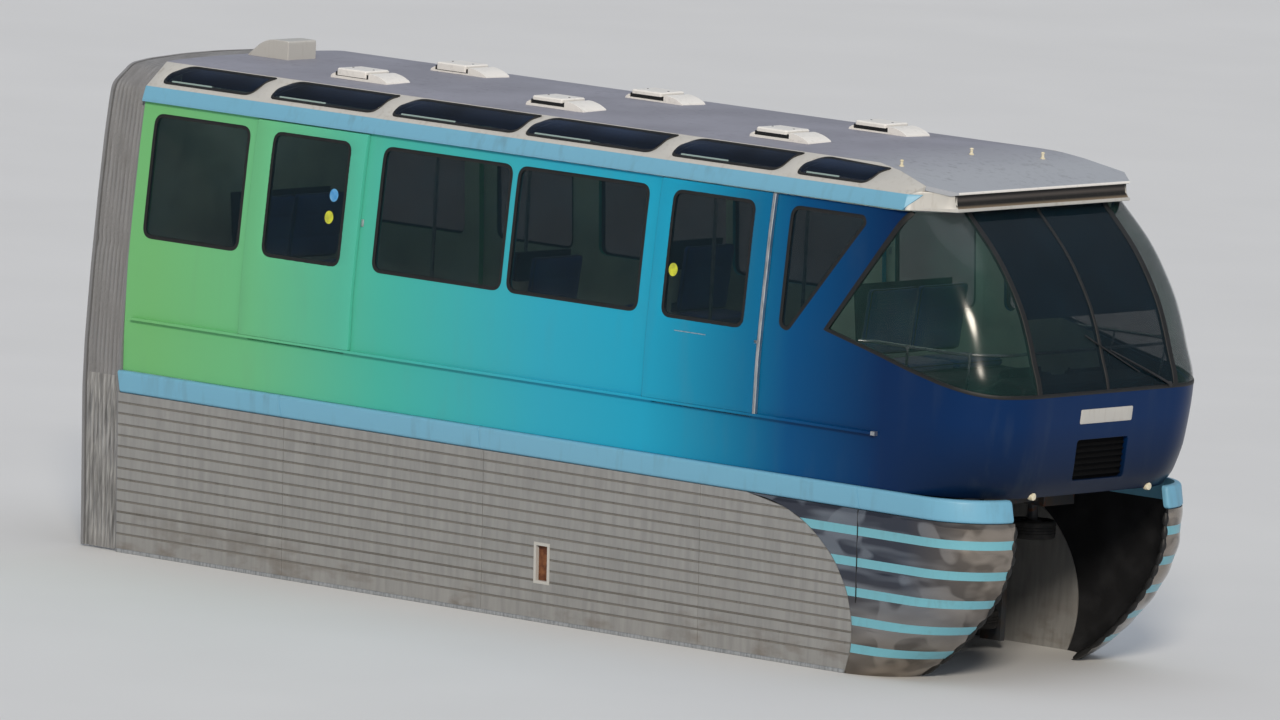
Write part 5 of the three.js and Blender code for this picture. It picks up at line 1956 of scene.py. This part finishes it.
class Inside(bpy.types.Operator):
    """Floor, bulkhead, driver's desk with its controls, poles and rails"""
    bl_idname = "car.inside"
    bl_label = "Inside"

    def execute(self, context):
        softened("floor", "floor_pan", "floor_rubber", bevel=0.02)
        softened("rear_bulkhead", "bulkhead_panel", "lining", bevel=0.004)
        pane = Piece()
        outline = rounded(rectangle(-0.597, 0.597, SILL + 0.003, LINTEL - 0.003), 0.06)
        pane.sheet(outline, [], lambda y, z, below: (0.017 + below, y, z), 0.006, (0.2, 0.2), 0.002)
        pane.make("bulkhead_pane", "roof_glazing")
        self.rails()
        self.desk()
        return {"FINISHED"}

    def rails(self):
        rails = Piece()
        for x in POLES_X:
            for y in POLES_Y:
                rails.tube([(x, y, FOOT_LEVEL), (x, y, POLE_HEAD)], 0.017, 16)
                for foot in (FOOT_LEVEL, POLE_HEAD - 0.013):
                    rails.turned([(0, 0), (0.042, 0), (0.042, 0.006), (0.02, 0.012), (0, 0.012)],
                                 (x, y, foot), (0, 0, 1), 20)
        for y in POLES_Y:
            path = [(x, y, TOP_RAIL) for x in spread(POLES_X[0] - 0.04, POLES_X[1] + 0.04, 19)]
            rails.tube(path, 0.014, 12)
        for x in POLES_X:
            rails.tube([(x, y, TOP_RAIL) for y in spread(*POLES_Y, 7)], 0.013, 12)
        path = []
        reach = girth(8.05, RAIL_HEIGHT)
        for s in spread(-reach, reach, 60):
            end = max(0, 1 - (reach - abs(s)) / 0.12)
            path.append(around(s, RAIL_HEIGHT, RAIL_DEPTH - 0.085 * end ** 2))
        rails.tube(path, 0.014, 12)
        for s in RAIL_LEGS:
            near = around(s, RAIL_HEIGHT, RAIL_DEPTH - 0.01)
            rails.turned([(0, -0.019), (0.019, -0.019), (0.019, 0.019), (0, 0.019)], near, (0, 0, 1), 12)
            rails.tube([near, (near[0] - 0.04, near[1] * 0.97, 1.1)], 0.011, 10)
        rails.make("handrail_tubes", "brushed_steel", replaces=["handrails"])

    def desk(self):
        softened("driver_desk", "desk_shell", "powder_coat", bevel=0.03)
        desk = Piece()
        for y in (-0.46, 0, 0.46):
            desk.tube([(9.115, y, 1.226), (9.145, y, 1.276)], 0.012, 10)
        dials = rounded([(8.94, 1.118), (9.08, 1.215), (9.07, 1.3), (8.98, 1.27)], 0.015, 4)
        desk.prism(dials, along_y, -0.7, -0.28)
        switches = rounded([(8.95, 1.125), (9.06, 1.2), (9.05, 1.25), (8.97, 1.225)], 0.012, 4)
        desk.prism(switches, along_y, 0.16, 0.66)
        lever = [(0, 0), (0.026, 0), (0.022, 0.03), (0.009, 0.045), (0.009, 0.1), (0.022, 0.115),
                 (0.02, 0.14), (0, 0.148)]
        desk.turned(lever, (8.9, -0.12, 1.098), (-0.15, 0, 1), 16)
        for k in range(BUTTONS):
            desk.bolt((8.885, 0.02 + k * 0.035, 1.1), (-0.3, 0, 1), 0.011, 0.008, 0.011, 12, 1 + k % 2)
        desk.make("desk_controls", ["powder_coat", "yellow_disc", "anodised"], bevel=0.003)


# Running gear

TYRE = ((0.3, 0.03), (0.33, 0.025), (0.45, 0.0255), (0.482, 0.034), (0.496, 0.052), (0.5, 0.075))
TREAD_GROOVES = (0.115, 0.165, 0.215, 0.265)
TYRE_WIDTH = 0.38
HUB = (
    (0.296, 0.35), (0.286, 0.352), (0.276, 0.335), (0.268, 0.272), (0.24, 0.266), (0.15, 0.266),
    (0.128, 0.29), (0.112, 0.33), (0.11, 0.49), (0.1, 0.4997), (0.055, 0.4997), (0.055, 0.56), (0, 0.56),
)
WHEEL_BOLTS = 10
BOLT_CIRCLE = 0.2
SIDE_WHEEL_HALF = 0.075
SIDE_WHEEL_BOLTS = 6
SIDE_BOLT_CIRCLE = 0.11
SPRING_OUT = (-0.42, 0.42)
SPRING_Y = (-0.8, 0.8)
SPRING_SPAN = (0.17, 0.56)


def middle_of(node):
    low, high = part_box(node)
    return (low + high) / 2


class RunningGear(bpy.types.Operator):
    """Bogies with their springs, treaded wheels, coupler and the equipment under the floor"""
    bl_idname = "car.running_gear"
    bl_label = "Running gear"

    def execute(self, context):
        softened("equipment_boxes", "equipment_covers", "equipment_paint", bevel=0.012)
        softened("rear_coupler", "coupler_block", "bogie_paint", bevel=0.008)
        for end in ENDS:
            bogie = f"bogie_{end}"
            softened(bogie, f"bogie_frame_{end}", "bogie_paint", bogie, 0.008)
            self.springs(end)
            self.load_wheels(end)
            for name, _ in SIDES:
                for node in (f"guide_wheel_{end}_fore_{name}", f"guide_wheel_{end}_aft_{name}",
                             f"stabiliser_wheel_{end}_{name}"):
                    self.side_wheel(node)
        return {"FINISHED"}

    def springs(self, end):
        """Rubber folds round the air springs."""
        springs = Piece()
        foot, head = SPRING_SPAN
        folds = [(0.127 + 0.01 * math.sin(math.pi * 4 * k / 24) ** 2, z)
                 for k, z in enumerate(spread(foot, head, 24))]
        profile = [(0.124, foot)] + folds + [(0.124, head)]
        for x in SPRING_OUT:
            for y in SPRING_Y:
                springs.turned(profile, (AXLES[end] + x, y, 0), (0, 0, 1), 32, closed=True)
        springs.make(f"air_spring_folds_{end}", "rubber_seal", f"bogie_{end}", sharp=60)

    def load_wheels(self, end):
        """Twin tyres with circumferential grooves on dished rims."""
        node = f"load_axle_{end}"
        centre = middle_of(node)
        profile = list(TYRE)
        for y in TREAD_GROOVES:
            profile += [(0.5, y - 0.007), (0.489, y - 0.005), (0.489, y + 0.005), (0.5, y + 0.007)]
        profile += [(radius, TYRE_WIDTH - y) for radius, y in TYRE[::-1]]
        profile += HUB
        wheels = Piece()
        for way in (-1, 1):
            wheels.turned([(radius, y * way) for radius, y in profile], centre, (0, 1, 0), 64)
            for k in range(WHEEL_BOLTS):
                angle = 2 * math.pi * k / WHEEL_BOLTS
                out, up = math.cos(angle) * BOLT_CIRCLE, math.sin(angle) * BOLT_CIRCLE
                spot = centre + Vector((out, 0.262 * way, up))
                wheels.turned([(0, 0), (0.017, 0), (0.017, 0.014), (0.011, 0.018), (0, 0.018)],
                              spot, (0, way, 0), 6, ink=2)
        axle = [(0.3, -0.031), (0.3, 0.031), (0, 0.031), (0, -0.031)]
        wheels.turned(axle, centre, (0, 1, 0), 48, ink=1)
        # The rubber ends at the rim: what lies nearer to the axle is the painted wheel
        for index, face in enumerate(wheels.faces):
            if wheels.inks[index] == 0:
                reach = max(math.dist(wheels.points[i][::2], centre.xz) for i in face)
                wheels.inks[index] = int(reach < HUB[0][0] + 0.002)
        wheels.make(f"load_wheels_{end}", ["tyre_rubber", "bogie_paint", "machined"], node, [node])

    def side_wheel(self, node):
        """Small treaded wheel on an upright pin."""
        centre = middle_of(node)
        h = SIDE_WHEEL_HALF
        tyre = [(0.15, -h), (0.184, -h), (0.197, -h + 0.012), (0.2, -h + 0.026)]
        for z in (-0.025, 0, 0.025):
            tyre += [(0.2, z - 0.005), (0.193, z - 0.003), (0.193, z + 0.003), (0.2, z + 0.005)]
        tyre += [(0.2, h - 0.026), (0.197, h - 0.012), (0.184, h), (0.15, h), (0.146, h - 0.01),
                 (0.146, -h + 0.01)]
        wheel = Piece()
        wheel.turned(tyre, centre, (0, 0, 1), 56, closed=True)
        disc = [(0.031, h), (0.073, h), (0.08, h - 0.012), (0.084, h - 0.034), (0.136, h - 0.034),
                (0.142, h - 0.008), (0.1465, h - 0.008)]
        disc = [(radius, -z) for radius, z in disc] + disc[::-1]
        wheel.turned(disc, centre, (0, 0, 1), 56, ink=1, closed=True)
        for k in range(SIDE_WHEEL_BOLTS):
            angle = 2 * math.pi * k / SIDE_WHEEL_BOLTS
            ahead, out = math.cos(angle) * SIDE_BOLT_CIRCLE, math.sin(angle) * SIDE_BOLT_CIRCLE
            for way in (-1, 1):
                spot = centre + Vector((ahead, out, way * (h - 0.036)))
                wheel.bolt(spot, (0, 0, way), 0.01, 0.01, 0.013, 6, 2)
        wheel.make(f"{node}_tyre", ["tyre_rubber", "bogie_paint", "machined"], node, [node])


# Camera: the photograph's viewing angle, its frame drawn in round the car

VIEW_AZIMUTH = math.radians(40.3435)
VIEW_ELEVATION = math.radians(6.6121)
VIEW_ROLL = math.radians(3.1128)
VIEW_DISTANCE = 143.7
VIEW_TARGET = Vector((4.5, 0, 0.8))
PHOTO_WIDTH = 1280
PHOTO_FOCUS = 6561.6
SENSOR = 36
CROP = 2.6
FLOOR_REACH = 400
LAMP_DISTANCE = 30


class Stage(bpy.types.Operator):
    """Floor, soft light and camera"""
    bl_idname = "car.stage"
    bl_label = "Stage"

    def execute(self, context):
        scene = context.scene
        mesh = bpy.data.meshes.new("stage_floor")
        square = rectangle(-FLOOR_REACH, FLOOR_REACH, -FLOOR_REACH, FLOOR_REACH)
        points = [(x + VIEW_TARGET.x, y, SKIRT_FOOT - 0.001) for x, y in square]
        mesh.from_pydata(points, [], [[0, 1, 2, 3]])
        mesh.materials.append(material("studio_floor"))
        placed("stage_floor", mesh)
        world = bpy.data.worlds.new("studio")
        scene.world = world
        world.use_nodes = True
        sky = world.node_tree.nodes["Background"].inputs
        sky["Color"].default_value = linear("#DCE4EE")
        sky["Strength"].default_value = 0.4
        self.lamp("key_light", (0.58, -0.68, 0.48), 11, 2.1, "#FFF3E2")
        self.lamp("top_light", (0.1, 0.15, 1), 60, 0.72, "#F3F6FF")
        self.camera(scene)
        scene.view_settings.view_transform = "Standard"
        return {"FINISHED"}

    def lamp(self, name, way, width, strength, code):
        """Broad, far lamp that lights the floor evenly; its width is an angle in degrees."""
        data = bpy.data.lights.new(name, "SUN")
        data.angle = math.radians(width)
        data.energy = strength
        data.color = linear(code)[:3]
        lamp = placed(name, data)
        back = Vector(way).normalized()
        turn = back.to_track_quat("Z", "Y").to_matrix().to_4x4()
        lamp.matrix_world = Matrix.Translation(VIEW_TARGET + back * LAMP_DISTANCE) @ turn

    def camera(self, scene):
        azimuth, elevation, roll = VIEW_AZIMUTH, VIEW_ELEVATION, VIEW_ROLL
        back = Vector((math.sin(azimuth) * math.cos(elevation), -math.cos(azimuth) * math.cos(elevation),
                       math.sin(elevation)))
        right = Vector((math.cos(azimuth), math.sin(azimuth), 0))
        up = back.cross(right)
        across = right * math.cos(roll) + up * math.sin(roll)
        rise = up * math.cos(roll) - right * math.sin(roll)
        turn = Matrix((across, rise, back)).transposed().to_4x4()
        data = bpy.data.cameras.new("photo_camera")
        data.sensor_width = SENSOR
        data.lens = PHOTO_FOCUS / PHOTO_WIDTH * SENSOR * CROP
        data.clip_end = 1000
        camera = placed("photo_camera", data)
        camera.matrix_world = Matrix.Translation(VIEW_TARGET + back * VIEW_DISTANCE) @ turn
        scene.camera = camera


@finish("studio floor", Roughness=0.7, IOR=1.3)
def studio_floor(look):
    # Plain pale seamless floor
    look.mottled("#DADBDC", "#DEDFE0", 3, 0.3, 0.7, 2)


BUILDERS = (Seats, SideWalls, SideWindows, Doors, Cowl, Windscreen, Shoulders, Roof, LowerBands, SideSkirts,
            NoseSkirts, Bellows, Inside, RunningGear, Stage)


class CarPanel(bpy.types.Panel):
    """Lists the operators that build the car"""
    bl_idname = "VIEW3D_PT_monorail_car"
    bl_label = "Monorail car"
    bl_space_type = "VIEW_3D"
    bl_region_type = "UI"
    bl_category = "Monorail car"

    def draw(self, context):
        for group in (context.scene.car_sizes, context.scene.car_colours):
            box = self.layout.box()
            for name in group.__annotations__:
                box.prop(group, name)
        for builder in BUILDERS:
            self.layout.operator(builder.bl_idname)


CLASSES = (CarSizes, CarColours, *BUILDERS, CarPanel)


def register():
    for item in CLASSES:
        bpy.utils.register_class(item)
    bpy.types.Scene.car_sizes = PointerProperty(type=CarSizes)
    bpy.types.Scene.car_colours = PointerProperty(type=CarColours)


def unregister():
    del bpy.types.Scene.car_colours
    del bpy.types.Scene.car_sizes
    for item in reversed(CLASSES):
        bpy.utils.unregister_class(item)


def main():
    register()
    for builder in BUILDERS:
        family, name = builder.bl_idname.split(".")
        getattr(getattr(bpy.ops, family), name)()


if __name__ == "__main__":
    main()
